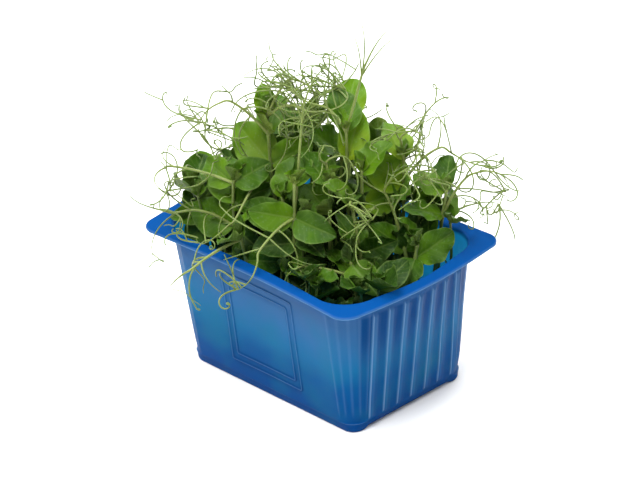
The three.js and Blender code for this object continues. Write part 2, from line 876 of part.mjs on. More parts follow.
// A leaf blade: two faces split alike, a blade's thickness apart, with a rim between.
function bladeSolid(at) {
  const rows = blade.stops.length;
  const last = rows * 3 + 1;
  const across = (part) => [at(part, -1), at(part, 0), at(part, 1)];
  const middle = [at(0, 0), ...blade.stops.flatMap(across), at(1, 0)];
  const normal = new THREE.Vector3()
    .subVectors(at(0.5, 1), at(0.5, -1))
    .cross(new THREE.Vector3().subVectors(at(1, 0), at(0, 0)))
    .normalize();
  const shifted = (side) =>
    middle.map((point) => point.clone().addScaledVector(normal, (side * blade.thickness) / 2));
  const face = [[0, 1, 2], [0, 2, 3]];
  for (let row = 0; row + 1 < rows; row += 1) {
    const left = 1 + row * 3;
    for (const a of [left, left + 1]) {
      face.push([a, a + 3, a + 4], [a, a + 4, a + 1]);
    }
  }
  face.push([last - 3, last, last - 2], [last - 2, last, last - 1]);
  const lefts = blade.stops.map((_, row) => 1 + row * 3);
  const rights = blade.stops.map((_, row) => 3 + row * 3).reverse();
  const rim = [0, ...lefts, last, ...rights];
  const count = middle.length;
  const rimFaces = rim.flatMap((a, index) => {
    const b = rim[(index + 1) % rim.length];
    return [[b, a, a + count], [b, a + count, b + count]];
  });
  const underFace = face.map(([a, b, c]) => [a + count, c + count, b + count]);
  return solidOf([...shifted(-1), ...shifted(1)], [...face, ...underFace, ...rimFaces]);
}

// The pea that the shoot grew from, half sunk in the medium, and its root.
function footSolids([x, y]) {
  const seed = new THREE.Vector3(x, y, medium.top);
  const ball = new THREE.IcosahedronGeometry(pea.radius, 0);
  ball.deleteAttribute("normal");
  ball.deleteAttribute("uv");
  const round = mergeVertices(ball.translate(...seed.toArray()));
  const vertProperties = round.getAttribute("position").array;
  const triVerts = new Uint32Array(round.index.array);
  const root = [seed, seed.clone().setZ(medium.top - pea.rootLength)];
  return [
    new wasm.Manifold(new wasm.Mesh({ numProp: 3, vertProperties, triVerts })),
    tubeSolid(root, { rootRadius: pea.rootRadius, tipRadius: pea.rootTipRadius, sides: stem.sides }),
  ];
}

function shootSolid(plant) {
  return joined([
    ...footSolids(plant.shoot.foot),
    tubeSolid(plant.stem, { rootRadius: stem.footRadius, tipRadius: stem.tipRadius, sides: stem.sides }),
    ...plant.sprays.map((spray) => tubeSolid(spray.path, { ...tendril, rootRadius: stalk.rootRadius })),
    ...plant.sprays.flatMap((spray) => spray.tendrils.map((path) => tubeSolid(path, tendril))),
    ...plant.leaves.map(bladeSolid),
  ]);
}

// ---------------------------------------------------------------- growing medium

// A block that follows the wall, its top gently uneven, with a hole where each shoot stands.
function mediumSolid(feet) {
  const { top, bottom, wallGap, rings, reliefHeight } = medium;
  const steps = plainCornerSteps;
  const inwards = tray.wall + wallGap;
  const edge = wallRing(top, inwards, steps);
  const relief = ({ x, y }) => reliefHeight * Math.sin(0.71 * x + 0.3 * y) * Math.cos(0.64 * y - 0.23 * x);
  const lattice = rings.map((size) =>
    edge.map((point) => {
      const inner = point.clone().multiplyScalar(size);
      return inner.setZ(top + relief(inner));
    }));
  const foot = { inset: footInset + inwards, radius: tray.footRadius - tray.wall, z: bottom, steps };
  const skins = [...lattice.reverse(), edge, wallRing(tray.stepHeight + 1, inwards, steps), ring(foot)];
  const block = closedSkin(new THREE.Vector3(0, 0, top), skins, new THREE.Vector3(0, 0, bottom));
  const pits = feet.map(([x, y]) => {
    const path = [new THREE.Vector3(x, y, top - pit.depth), new THREE.Vector3(x, y, top + pit.above)];
    const tipRadius = pit.radius * (1 + pit.above / pit.depth);
    return tubeSolid(path, { rootRadius: pit.tipRadius, tipRadius, sides: pit.sides });
  });
  return pits.reduce((whole, hole) => whole.subtract(hole), block);
}

// ---------------------------------------------------------------- the whole

const specs = [...shoots, ...plainShoots.map(plainShoot)];
const plants = growAll(specs);

const group = new THREE.Group();
group.add(meshOf("tray", traySolid().simplify(0.02), colours.plastic));
group.add(meshOf("growing_medium", mediumSolid(specs.map((shoot) => shoot.foot)), colours.peat));
plants.forEach((plant, index) => {
  const name = `shoot_${String(index + 1).padStart(2, "0")}`;
  group.add(meshOf(name, shootSolid(plant), colours.leaf));
});

export default group;
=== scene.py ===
# Pea shoots growing in a thermoformed tray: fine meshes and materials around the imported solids.
# Shapes are worked out in millimetres and become metres where their mesh is made.
import math
from functools import partial

import bmesh
import bpy
import numpy as np
from mathutils import Matrix, Vector, noise


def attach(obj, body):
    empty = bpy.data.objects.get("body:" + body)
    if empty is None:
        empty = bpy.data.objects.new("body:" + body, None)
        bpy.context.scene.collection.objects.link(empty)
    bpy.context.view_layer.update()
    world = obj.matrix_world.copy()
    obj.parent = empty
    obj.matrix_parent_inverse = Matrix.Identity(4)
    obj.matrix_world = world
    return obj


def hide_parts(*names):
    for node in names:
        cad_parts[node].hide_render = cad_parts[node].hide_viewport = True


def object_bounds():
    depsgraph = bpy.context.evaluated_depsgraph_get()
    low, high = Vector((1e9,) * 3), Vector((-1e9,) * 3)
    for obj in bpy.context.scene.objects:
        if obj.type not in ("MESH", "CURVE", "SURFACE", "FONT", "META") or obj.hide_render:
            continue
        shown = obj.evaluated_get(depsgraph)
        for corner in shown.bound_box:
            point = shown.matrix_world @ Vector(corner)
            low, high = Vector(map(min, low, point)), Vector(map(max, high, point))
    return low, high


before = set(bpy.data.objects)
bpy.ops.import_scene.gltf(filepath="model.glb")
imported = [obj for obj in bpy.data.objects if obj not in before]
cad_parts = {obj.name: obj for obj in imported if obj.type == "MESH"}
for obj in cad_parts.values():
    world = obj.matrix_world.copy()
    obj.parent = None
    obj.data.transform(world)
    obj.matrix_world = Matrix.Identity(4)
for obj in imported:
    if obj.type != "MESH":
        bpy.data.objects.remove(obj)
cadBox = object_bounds()
print("frame: packed solids loaded")

mm = 0.001
worldUp = np.array([0.0, 0.0, 1.0])

# Long lens, from the front right and above.
cameraView = {
    "place": (1799.8, -1652.3, 1425.5),  # mm
    "right": (0.69463, 0.71774, -0.04833),
    "up": (-0.31531, 0.36418, 0.87633),
    "focalPixels": 4474.3,
    "frameWidth": 640,  # pixels
    "sensor": 36.0,
    "sight": 20,  # metres
}


def addCamera(view):
    data = bpy.data.cameras.new("camera")
    data.sensor_width = view["sensor"]
    data.lens = view["sensor"] * view["focalPixels"] / view["frameWidth"]
    data.clip_end = view["sight"]
    camera = bpy.data.objects.new("camera", data)
    right, up = Vector(view["right"]).normalized(), Vector(view["up"]).normalized()
    turn = Matrix((right, up, right.cross(up))).transposed().to_4x4()
    camera.matrix_world = Matrix.Translation(Vector(view["place"]) * mm) @ turn
    bpy.context.scene.collection.objects.link(camera)
    bpy.context.scene.camera = camera


addCamera(cameraView)
print("camera: placed")


def vec(*numbers):
    return np.array(numbers, float)


def unit(vector):
    return vector / np.linalg.norm(vector)


def turned(vector, axis, angle):
    c, s = math.cos(angle), math.sin(angle)
    return vector * c + np.cross(axis, vector) * s + axis * (axis @ vector) * (1 - c)


def heading(azimuth, elevation):
    a, e = math.radians(azimuth), math.radians(elevation)
    return vec(math.cos(e) * math.cos(a), math.cos(e) * math.sin(a), math.sin(e))


def mix(low, high, part):
    return low + (high - low) * part


def smoothStep(value):
    t = np.clip(value, 0, 1)
    return t * t * (3 - 2 * t)


# 0 up to start, then rising to 1 over so much.
def risen(value, start, over):
    return smoothStep((value - start) / over)


# The same, and falling again to 0 at end.
def between(value, start, end, rise, fall):
    return risen(value, start, rise) * smoothStep((end - value) / fall)


# Parts collect points and faces in millimetres until they become one object.
# marks are three numbers a point that its material reads; points flagged as edge get a crisp margin.
def newParts():
    return {"points": [], "faces": [], "slots": [], "marks": [], "edge": [], "count": 0}


def addPart(parts, points, faces, slot, marks=0, edge=False):
    start, count = parts["count"], len(points)
    parts["points"].append(np.asarray(points, float))
    parts["marks"].append(np.broadcast_to(marks, (count, 3)))
    parts["edge"].append(np.broadcast_to(edge, count))
    parts["faces"] += [tuple(index + start for index in face) for face in faces]
    parts["slots"] += [slot] * len(faces) if isinstance(slot, int) else slot
    parts["count"] += count


def buildPiece(parts, name, materials):
    mesh = bpy.data.meshes.new(name)
    mesh.from_pydata((np.concatenate(parts["points"]) * mm).tolist(), [], parts["faces"])
    for material in materials:
        mesh.materials.append(material)
    mesh.polygons.foreach_set("material_index", parts["slots"])
    mesh.polygons.foreach_set("use_smooth", [True] * len(parts["faces"]))
    growth = mesh.attributes.new("growth", "FLOAT_VECTOR", "POINT")
    growth.data.foreach_set("vector", np.concatenate(parts["marks"]).astype(np.float32).ravel())
    flags = np.concatenate(parts["edge"])
    if flags.any():
        ends = np.zeros(len(mesh.edges) * 2, np.int32)
        mesh.edges.foreach_get("vertices", ends)
        crisp = mesh.attributes.new("sharp_edge", "BOOLEAN", "EDGE")
        crisp.data.foreach_set("value", flags[ends[0::2]] & flags[ends[1::2]])
    mesh.update()
    piece = bpy.data.objects.new(name, mesh)
    bpy.context.scene.collection.objects.link(piece)
    return piece


# Faces of a grid of points; closed joins its last column to its first.
def gridFaces(rows, columns, closed=False, start=0):
    faces = []
    for row in range(rows - 1):
        for column in range(columns if closed else columns - 1):
            a = start + row * columns + column
            b = start + row * columns + (column + 1) % columns
            faces.append((a, b, b + columns, a + columns))
    return faces


# A closed skin over rings of points, from one pole to the other.
def skinOver(first, rings, last):
    points, count = np.concatenate([[first], *rings, [last]]), len(rings[0])
    end = len(points) - 1
    faces = [(a, d, c, b) for a, b, c, d in gridFaces(len(rings), count, True, 1)]
    for column in range(count):
        following = (column + 1) % count
        faces += [(0, 1 + column, 1 + following), (end, end - count + following, end - count + column)]
    return points, faces


def fromHex(code):
    parts = [int(code[i:i + 2], 16) / 255 for i in (1, 3, 5)]
    linear = [p / 12.92 if p <= 0.04045 else ((p + 0.055) / 1.055) ** 2.4 for p in parts]
    return (*linear, 1.0)


# Adds a node. A setting is a property of it, a value or hex colour for a socket, or what to link there: an
# output, or a node that stands for its first output in use. stops are a ramp's places and colours.
def addNode(tree, kind, settings):
    node = tree.nodes.new("ShaderNode" + kind)
    for key, value in settings.items():
        if isinstance(value, bpy.types.Node):
            value = next(output for output in value.outputs if output.enabled)
        if isinstance(value, bpy.types.NodeSocket):
            tree.links.new(value, node.inputs[key])
        elif isinstance(key, int) or key in node.inputs:
            node.inputs[key].default_value = fromHex(value) if isinstance(value, str) else value
        elif key == "stops":
            elements = node.color_ramp.elements
            while len(elements) < len(value):
                elements.new(0.5)
            for element, (place, code) in zip(elements, value):
                element.position, element.color = place, fromHex(code)
        else:
            setattr(node, key, value)
    return node


# A new material, and the function above to add nodes to it.
def newMaterial(name):
    material = bpy.data.materials.new(name)
    material.use_nodes = True
    material.node_tree.nodes.clear()
    return material, partial(addNode, material.node_tree)


# What a material's patterns start from: the place on the piece, and the marks X, Y and Z of its points.
def addInputs(add):
    growth = add("Attribute", {"attribute_name": "growth"}).outputs["Vector"]
    return add("TexCoord", {}).outputs["Object"], add("SeparateXYZ", {0: growth}).outputs


# A pattern's scale, for features of so many millimetres.
def scaleFor(size):
    return 1 / (size * mm)


# Polypropylene sheet, thermoformed and blue: satin and translucent. Its colour by height is painted light and
# shade:
# milky where light comes through the thin walls, deeper where the medium backs them, greyer in the shade
# under the flange; the flat flange is deep blue of its own. Painted highlights whiten its edges and rib
# crests, and painted shade darkens the rib valleys, the creases and the wall under the flange.
polypropylene = {
    # painted light and shade by height: deep over the medium, milky where light comes through, grey in the
    # shade under the flange, then the flange's own blue
    "heights": [(0.0, "#054b94"), (0.33, "#075998"), (0.47, "#1a70a4"), (0.64, "#326ea2"), (0.86, "#3f6898"),
                (0.93, "#2c5e98"), (0.984, "#1c6199"), (0.994, "#094a90")],
    "wander": 0.16,  # of the height, how far the patches move those colours on the wall
    # painted light in patches: lighter and more cyan where the thinner sheet lets more light through
    "haze": "#16749a",  # patches where the sheet is thinner
    "hazeShare": 0.7,
    # painted highlights on the edges of ribs, beads, flutes, flange, lip and step
    "highlight": "#86b4dc",
    "highlightShare": 0.55,
    # painted shade in the rib valleys, in the creases beside the beads, and on the wall under the flange
    "paintedShade": "#003c78",
    "paintedShadeShare": 0.9,
    "through": "#1b98c8",  # the light that comes through
    "throughShare": 0.34,
    # painted glow: the inner face over the medium emits light in place of the light it catches from the walls
    # round it
    "insideGlow": 0.5,  # the inner face over the medium catches light from all the walls round it
    "sheetPatch": 34.0,  # mm, as are the next two
    "orangePeel": 0.7,
    "peelDepth": 0.05,
    "roughness": 0.27,
    "shine": 0.05,
}


def polypropyleneThermoformed(look):
    material, add = newMaterial("polypropyleneThermoformed")
    place, marks = addInputs(add)
    height = add("SeparateXYZ", {0: place}).outputs["Z"]
    patches = add("TexNoise", {"Scale": scaleFor(look["sheetPatch"]), "Detail": 2.0, "Vector": place})
    share = add("Math", {"operation": "DIVIDE", 0: height, 1: trayShape["height"] * mm})
    drift = look["wander"]
    wander = add("Math", {"operation": "MULTIPLY_ADD", 0: patches, 1: drift, 2: -drift / 2})
    isWall = add("MapRange", {"Value": share, "From Min": 0.6, "From Max": 0.9, "To Min": 1.0,
                              "To Max": 0.0})
    wallWander = add("Math", {"operation": "MULTIPLY", 0: wander, 1: isWall})
    level = add("Math", {"operation": "ADD", 0: share, 1: wallWander})
    isThin = add("MapRange", {"Value": patches, "From Min": 0.5, "From Max": 0.75,
                              "To Max": look["hazeShare"]})
    haze = add("Math", {"operation": "MULTIPLY", 0: isThin, 1: isWall})
    paintedShade = add("Math", {"operation": "MULTIPLY", 0: marks["Y"], 1: look["paintedShadeShare"]})
    highlight = add("Math", {"operation": "MULTIPLY", 0: marks["X"], 1: look["highlightShare"]})
    colour = add("ValToRGB", {"stops": look["heights"], "Fac": level})
    # laid over the colour: patches of painted light, painted shade and painted highlights
    for layer, mask in (("haze", haze), ("paintedShade", paintedShade), ("highlight", highlight)):
        colour = add("Mix", {"data_type": "RGBA", 0: mask, 6: colour, 7: look[layer]})
    peel = add("TexNoise", {"Scale": scaleFor(look["orangePeel"]), "Detail": 1.0, "Vector": place})
    relief = add("Bump", {"Strength": 0.12, "Distance": look["peelDepth"] * mm, "Height": peel})
    # the painted glow of the inner face above the medium
    glow = add("Math", {"operation": "MULTIPLY", 0: marks["Z"], 1: look["insideGlow"]})
    skin = add("BsdfPrincipled", {"Base Color": colour, "Roughness": look["roughness"], "IOR": 1.49,
                                  "Specular IOR Level": look["shine"], "Emission Color": look["through"],
                                  "Emission Strength": glow, "Normal": relief})
    through = add("BsdfTranslucent", {"Color": look["through"]})
    sheet = add("MixShader", {0: look["throughShare"], 1: skin, 2: through})
    add("OutputMaterial", {"Surface": sheet})
    return material


# Pea leaf: a waxy satin skin, dark and bluish where it is old, yellow-green where it is young; the tone that
# picks the colour also carries painted shade on low leaves and painted light on high ones far out. It has a
# grey bloom in patches, faint pale veins, a thin light margin and a few silvery flecks.
peaLeaf = {
    "ages": [(0.0, "#213f0c"), (0.3, "#3e650e"), (0.6, "#638c13"), (1.0, "#95ac20")],
    "baseGlow": 0.24,  # how much younger the leaf looks at its foot
    "bloom": "#607a46",
    "bloomShare": 0.3,
    "bloomPatch": 24.0,  # mm
    "vein": "#86a04e",
    "midribShare": 0.36,
    "veinShare": 0.15,
    "veinDepth": 0.3,  # mm
    "margin": "#86a354",
    "marginShare": 0.4,
    "fleck": "#9db98a",
    "fleckShare": 0.14,
    "fleckSize": 2.2,  # mm
    "mottle": 9.0,  # mm
    "through": "#7ca41a",
    "throughShare": 0.28,
    "roughness": 0.46,
    "shine": 0.17,
}
peaLeafBack = {**peaLeaf, "ages": [(0.0, "#3b521c"), (0.5, "#5e742a"), (1.0, "#8a983a")], "vein": "#93a66a",
               "veinShare": 0.26, "roughness": 0.52}


def leafSkin(name, look):
    material, add = newMaterial(name)
    place, marks = addInputs(add)
    mottle = add("TexNoise", {"Scale": scaleFor(look["mottle"]), "Detail": 3.0, "Vector": place})
    mottled = add("Math", {"operation": "MULTIPLY_ADD", 0: mottle, 1: 0.5, 2: marks["Z"]})
    age = add("Math", {"operation": "MULTIPLY_ADD", 0: marks["X"], 1: -look["baseGlow"], 2: mottled})
    ageShift = add("Math", {"operation": "SUBTRACT", 0: age, 1: 0.25 - look["baseGlow"] / 2})
    patches = add("TexNoise", {"Scale": scaleFor(look["bloomPatch"]), "Detail": 1.0, "Vector": place})
    flecks = add("TexVoronoi", {"Scale": scaleFor(look["fleckSize"]), "Vector": place})
    side = add("Math", {"operation": "ABSOLUTE", 0: marks["Y"]})
    along = add("Math", {"operation": "MULTIPLY", 0: marks["X"], 1: leafLook["veins"]})
    slant = add("Math", {"operation": "MULTIPLY_ADD", 0: side, 1: -leafLook["slant"], 2: along})
    wobble = add("Math", {"operation": "MULTIPLY_ADD", 0: mottle, 1: 1.1, 2: slant})
    toVein = add("Math", {"operation": "PINGPONG", 0: wobble, 1: 0.5})
    masks = []
    for source, start, end, first, last in (
            (patches, 0.46, 0.66, 0.0, look["bloomShare"]),
            (flecks, 0.12, 0.3, look["fleckShare"], 0.0),
            (side, 0.01, 0.09, look["midribShare"], 0.0),
            (toVein, 0.02, 0.16, look["veinShare"], 0.0),
            (side, 0.86, 1.0, 0.0, look["marginShare"])):
        masks.append(add("MapRange", {"Value": source, "From Min": start, "From Max": end, "To Min": first,
                                      "To Max": last}))
    bloom, fleck, midrib, sideVein, margin = masks
    vein = add("Math", {"operation": "MAXIMUM", 0: midrib, 1: sideVein})
    colour = add("ValToRGB", {"stops": look["ages"], "Fac": ageShift})
    for layer, mask in (("bloom", bloom), ("fleck", fleck), ("vein", vein), ("margin", margin)):
        colour = add("Mix", {"data_type": "RGBA", 0: mask, 6: colour, 7: look[layer]})
    relief = add("Bump", {"invert": True, "Strength": 0.6, "Distance": look["veinDepth"] * mm,
                          "Height": vein})
    skin = add("BsdfPrincipled", {"Base Color": colour, "Roughness": look["roughness"], "IOR": 1.42,
                                  "Specular IOR Level": look["shine"], "Normal": relief})
    through = add("BsdfTranslucent", {"Color": look["through"]})
    blade = add("MixShader", {0: look["throughShare"], 1: skin, 2: through})
    add("OutputMaterial", {"Surface": blade})
    return material


# Pea stem and tendril: juicy, pale green and a little translucent, yellower towards the tips.
peaStem = {"stem": "#446020", "pale": "#808d4a", "streak": 2.2, "roughness": 0.45, "juice": 1.2}  # in mm


def stemSkin(look):
    material, add = newMaterial("peaStem")
    place, marks = addInputs(add)
    streaks = add("TexNoise", {"Scale": scaleFor(look["streak"]), "Detail": 2.0, "Vector": place})
    pale = add("Math", {"operation": "MULTIPLY_ADD", 0: streaks, 1: 0.6, 2: marks["X"]})
    paleShift = add("Math", {"operation": "SUBTRACT", "use_clamp": True, 0: pale, 1: 0.3})
    colour = add("Mix", {"data_type": "RGBA", 0: paleShift, 6: look["stem"], 7: look["pale"]})
    skin = add("BsdfPrincipled", {"Base Color": colour, "Roughness": look["roughness"], "IOR": 1.4,
                                  "Subsurface Weight": 0.3, "Subsurface Radius": (0.6, 1.0, 0.2),
                                  "Subsurface Scale": look["juice"] * mm})
    add("OutputMaterial", {"Surface": skin})
    return material


# Soaked seed pea: a wrinkled olive skin over a pale cotyledon.
seedPea = {"skin": "#8d8a4c", "bare": "#b9a962", "wrinkle": 1.4, "depth": 0.3, "roughness": 0.5}  # in mm


def peaSkin(look):
    material, add = newMaterial("seedPeaSkin")
    place = add("TexCoord", {}).outputs["Object"]
    wrinkles = add("TexNoise", {"Scale": scaleFor(look["wrinkle"]), "Detail": 3.0, "Vector": place})
    colour = add("ValToRGB", {"stops": [(0.35, look["skin"]), (0.65, look["bare"])], "Fac": wrinkles})
    relief = add("Bump", {"Strength": 0.6, "Distance": look["depth"] * mm, "Height": wrinkles})
    skin = add("BsdfPrincipled", {"Base Color": colour, "Roughness": look["roughness"], "IOR": 1.45,
                                  "Normal": relief})
    add("OutputMaterial", {"Surface": skin})
    return material


# Milled peat and coir, kept moist: dark, crumbly and matt, with paler fibres.
peatMix = {"wet": "#1d130c", "dry": "#4d3826", "crumb": 2.4, "depth": 0.6, "roughness": 0.95}  # sizes in mm


def peatMilled(look):
    material, add = newMaterial("peatMilled")
    place, marks = addInputs(add)
    crumbs = add("TexNoise", {"Scale": scaleFor(look["crumb"]), "Detail": 6.0, "Roughness": 0.7,
                              "Vector": place})
    dryness = add("Math", {"operation": "MULTIPLY_ADD", 0: crumbs, 1: 0.8, 2: marks["Z"]})
    colour = add("ValToRGB", {"stops": [(0.3, look["wet"]), (0.8, look["dry"])], "Fac": dryness})
    relief = add("Bump", {"Strength": 0.8, "Distance": look["depth"] * mm, "Height": crumbs})
    skin = add("BsdfPrincipled", {"Base Color": colour, "Roughness": look["roughness"], "Normal": relief})
    add("OutputMaterial", {"Surface": skin})
    return material


# The tray is one drawn sheet: wall with ribs and panel frames, flange with a turned-down lip, step and feet.
trayShape = {
    "length": 187.0,  # mm over the flange
    "width": 137.0,
    "height": 97.0,
    "flange": 8.5,
    "lip": 1.9,
    "taper": 11.0,
    "wall": 1.1,
    "rimRadius": 12.0,
    "topRadius": 24.0,
    "baseRadius": 13.0,
    "footRadius": 8.0,
    "footWidth": 9.0,
    "stepHeight": 6.5,
    "stepInset": 1.3,
    "archHeight": 1.6,
    "bowLong": 3.2,
    "bowShort": 4.6,
    "innerBend": 1.7,  # where the wall turns into the flange
    "cornerColumns": 44,
    "straightShort": 36.0,  # about half the straight part of a wall
    "straightLong": 61.0,
    # painted glow: from this height up the inner face of the wall glows
    "glowRise": (42.0, 20.0),  # from this height, and over so much, light comes through the walls
}
ribShape = {  # upright ribs on the short walls
    "count": 7,
    "pitch": 11.8,  # mm
    "heights": (7.4, 86.0),
    "ends": (2.2, 2.6),  # over which it rises at the bottom and falls at the top
    "steep": -1.9,  # from here to the crest it rises steeply, and then it falls gently
    "crest": 1.2,  # half width
    "gentle": 5.0,
    "proud": 1.0,
    # painted highlights: a line on each rib's steep edge and a faint glint on its crest
    "highlight": 1.2,  # of the steep edge
    "glint": 0.12,  # of the crest
    # painted shade between the ribs, fainter low on the wall
    "valley": (0.22, 0.8),  # how dark the sheet is between ribs, low and high on the wall
    "valleyRise": (30, 40),  # the height from which it darkens, and over how much
    "valleyGaps": (1.4, 1.5),  # beside the ribs, as light as they are
    "valleyEnds": (2.0, 1.0),
    "flangeShade": 0.34,  # how much darker the wall is under the flange
    "shadeRise": (46, 34),
    "darkest": 1.1,
    "lines": (-1.9, -1.75, -1.6, -1.45, -1.3, -1.15, -0.95, -0.5, 0.2, 0.8, 1.05, 1.25, 1.5, 1.9, 2.5, 3.1,
              3.7, 4.3, 5.0, 5.8, 7.0, 8.5),  # mesh lines across a rib
}
panelFrame = {  # two raised beads round the panel of a long wall
    "loops": [(31.0, 17.0, 81.5), (26.0, 22.5, 76.0)],  # half length, bottom, top
    "cornerRadius": 1.4,
    "halfWidth": 0.85,
    "proud": 0.7,
    # painted highlight along the beads, and painted shade in the creases beside them
    "highlight": 0.5,
    "paintedShade": (1.3, 0.7),  # the creases, low and high on the wall
    "lines": (-1.2, -0.8, -0.55, -0.28, 0.0, 0.28, 0.55, 0.8, 1.2),  # mesh lines across a bead
}
# faint upright flutes in the rounded corners, with a painted highlight along each
cornerFlutes = {"count": 5, "deep": 0.4, "sharpness": 5, "highlight": 0.22, "heights": (10.0, 90.0),
                "ends": (6, 6)}
# the sheet never draws quite flat between its stiff foot and rim
sheetWaves = {"deep": 0.28, "length": 38.0, "heights": (8, 94), "ends": (10, 10)}


def wallInset(z):
    return trayShape["flange"] + trayShape["taper"] * (1 - z / trayShape["height"])


def wallRadius(z):
    return mix(trayShape["baseRadius"], trayShape["topRadius"], z / trayShape["height"])


# Columns of the tray's rings: the side that each stands on, mm along it from its middle, and its corner turn.
def trayColumns(shape, fine=True):
    count, pitch = ribShape["count"], ribShape["pitch"]
    short = sorted((number - (count - 1) / 2) * pitch + line for number in range(count)
                   for line in ribShape["lines"])
    short = [place for place in short if abs(place) < shape["straightShort"] - 0.2]
    frames = [loop[0] + line for loop in panelFrame["loops"] for line in panelFrame["lines"]]
    # along a long wall: every 2.4 mm over the panel, close at its beads, then every 3 mm
    long = [*(2.4 * step for step in range(11)), *frames, *range(34, 59, 3)]
    long = sorted({*long, *[-place for place in long]})
    start = [0, 0.012, 0.025, 0.04, 0.055, 0.08, 0.105, 0.13, 0.16]  # radians, close where a corner starts
    corner = [*start, *np.linspace(0.2, math.pi / 2 - 0.2, shape["cornerColumns"] - 2 * len(start)),
              *[math.pi / 2 - turn for turn in reversed(start)]]
    if not fine:
        short, long, corner = short[::4], long[::3], corner[::4]
    sides, places, turns = [], [], []
    for side in range(4):
        along = short if side % 2 == 0 else long
        sides += [side] * (len(along) + len(corner))
        places += [*along, *[math.inf] * len(corner)]
        turns += [*[0.0] * len(along), *corner]
    return np.array(sides), np.array(places), np.array(turns)


# A closed ring of the tray, and which way it faces: a rounded rectangle whose long rims pull in and short
# rims bulge out.
def trayRing(columns, inset, radius, z, bow=0.0, arch=0.0):
    sides, places, turns = columns
    isShort = sides % 2 == 0
    angle = sides * math.pi / 2
    out = np.stack([np.cos(angle), np.sin(angle)], 1).round()
    along = np.stack([-np.sin(angle), np.cos(angle)], 1).round()
    half = np.where(isShort, trayShape["length"], trayShape["width"]) / 2
    halfAlong = np.where(isShort, trayShape["width"], trayShape["length"]) / 2
    bowed = np.where(isShort, trayShape["bowShort"], -trayShape["bowLong"]) * bow
    straight = halfAlong - inset - radius
    # the columns' places are true mm where a wall is about as long as usual, and are stretched elsewhere
    usual = np.where(isShort, trayShape["straightShort"], trayShape["straightLong"])
    stops = np.clip(places / np.where(np.abs(straight - usual) < 2.5, straight, usual), -1, 1)
    reach = half - inset - radius + radius * np.cos(turns) + bowed * np.cos(stops * math.pi / 2)
    place = out * reach[:, None] + along * (stops * straight + radius * np.sin(turns))[:, None]
    lift = np.where(isShort, arch * trayShape["archHeight"] * smoothStep((1 - np.abs(stops)) / 0.16), 0)
    normal = out * np.cos(turns)[:, None] + along * np.sin(turns)[:, None]
    return np.column_stack([place, z + lift]), np.column_stack([normal, np.zeros(len(stops))])


# 1 on a line, falling to 0 at about the width beside it; a higher power gives it a flatter top.
def lineMask(away, width, power=2):
    return np.exp(-((away / width) ** power))


# How far points lie past a rounded box, from how far they lie past its flat sides less the radius.
def pastRounded(pastX, pastY, radius):
    outside = np.hypot(np.maximum(pastX, 0), np.maximum(pastY, 0))
    return outside + np.minimum(np.maximum(pastX, pastY), 0) - radius


# How far the drawn features push the wall out, and where painted highlights whiten their edges and painted
# shade darkens their creases, the rib valleys and the wall under the flange.
def wallRelief(points, normals, turns, withFrames):
    x, y, z = points.T
    onShort = np.abs(normals[:, 0]) > 0.85
    onLong = np.abs(normals[:, 1]) > 0.97
    pitch, crest = ribShape["pitch"], ribShape["crest"]
    ends = between(z, *ribShape["heights"], *ribShape["ends"])
    along = y * np.sign(x)
    nearest = np.clip(np.round(along / pitch), -(ribShape["count"] // 2), ribShape["count"] // 2)
    offset = along - nearest * pitch
    steep = (offset - ribShape["steep"]) / (-crest - ribShape["steep"])
    gentle = (ribShape["gentle"] - offset) / (ribShape["gentle"] - crest)
    relief = onShort * ends * ribShape["proud"] * np.minimum(smoothStep(steep), np.clip(gentle, 0, 1))
    # painted highlights on the ribs: the steep edge and the crest
    highlight = ribShape["highlight"] * lineMask(offset + crest, 0.4)
    highlight = onShort * ends * (highlight + ribShape["glint"] * lineMask(offset - 0.8, 1.1, 4))
    # painted shade in the valleys between ribs and under the flange
    fromRib = np.where(offset < 0, offset + pitch, offset)
    gapAfter, gapBefore = ribShape["valleyGaps"]
    valley = between(fromRib, gapAfter, pitch - gapBefore, *ribShape["valleyEnds"])
    valley = valley * mix(*ribShape["valley"], risen(z, *ribShape["valleyRise"]))
    flangeShade = ribShape["flangeShade"] * risen(z, *ribShape["shadeRise"])
    paintedShade = onShort * np.minimum(ends * valley + flangeShade, ribShape["darkest"])
    for halfLength, bottom, top in panelFrame["loops"] if withFrames else ():
        corner = panelFrame["cornerRadius"]
        away = pastRounded(np.abs(x) - halfLength + corner,
                           np.abs(z - (bottom + top) / 2) - (top - bottom) / 2 + corner, corner)
        bead = np.minimum(np.abs(away) / panelFrame["halfWidth"], 1)
        relief = relief + onLong * panelFrame["proud"] * 0.5 * (1 + np.cos(math.pi * bead))
        # painted shade in the creases beside the beads, and a painted highlight on them
        deep = mix(*panelFrame["paintedShade"], risen(z, bottom, 12))
        paintedShade = np.maximum(paintedShade, onLong * deep * lineMask(np.abs(away) - 0.8, 0.42))
        highlight = np.maximum(highlight, onLong * panelFrame["highlight"] * lineMask(away, 0.3))
    # painted highlights along the corner flutes
    ends = between(z, *cornerFlutes["heights"], *cornerFlutes["ends"])
    share = turns / (math.pi / 2)
    wave = (0.5 * (1 - np.cos(2 * math.pi * cornerFlutes["count"] * share))) ** cornerFlutes["sharpness"]
    flute = (turns > 0) * ends * wave
    return relief + cornerFlutes["deep"] * flute, np.maximum(highlight, cornerFlutes["highlight"] * flute), paintedShade


def sheetWave(points):
    scale = 1 / sheetWaves["length"]
    return np.array([sheetWaves["deep"] * noise.noise(Vector(point * scale)) for point in points])


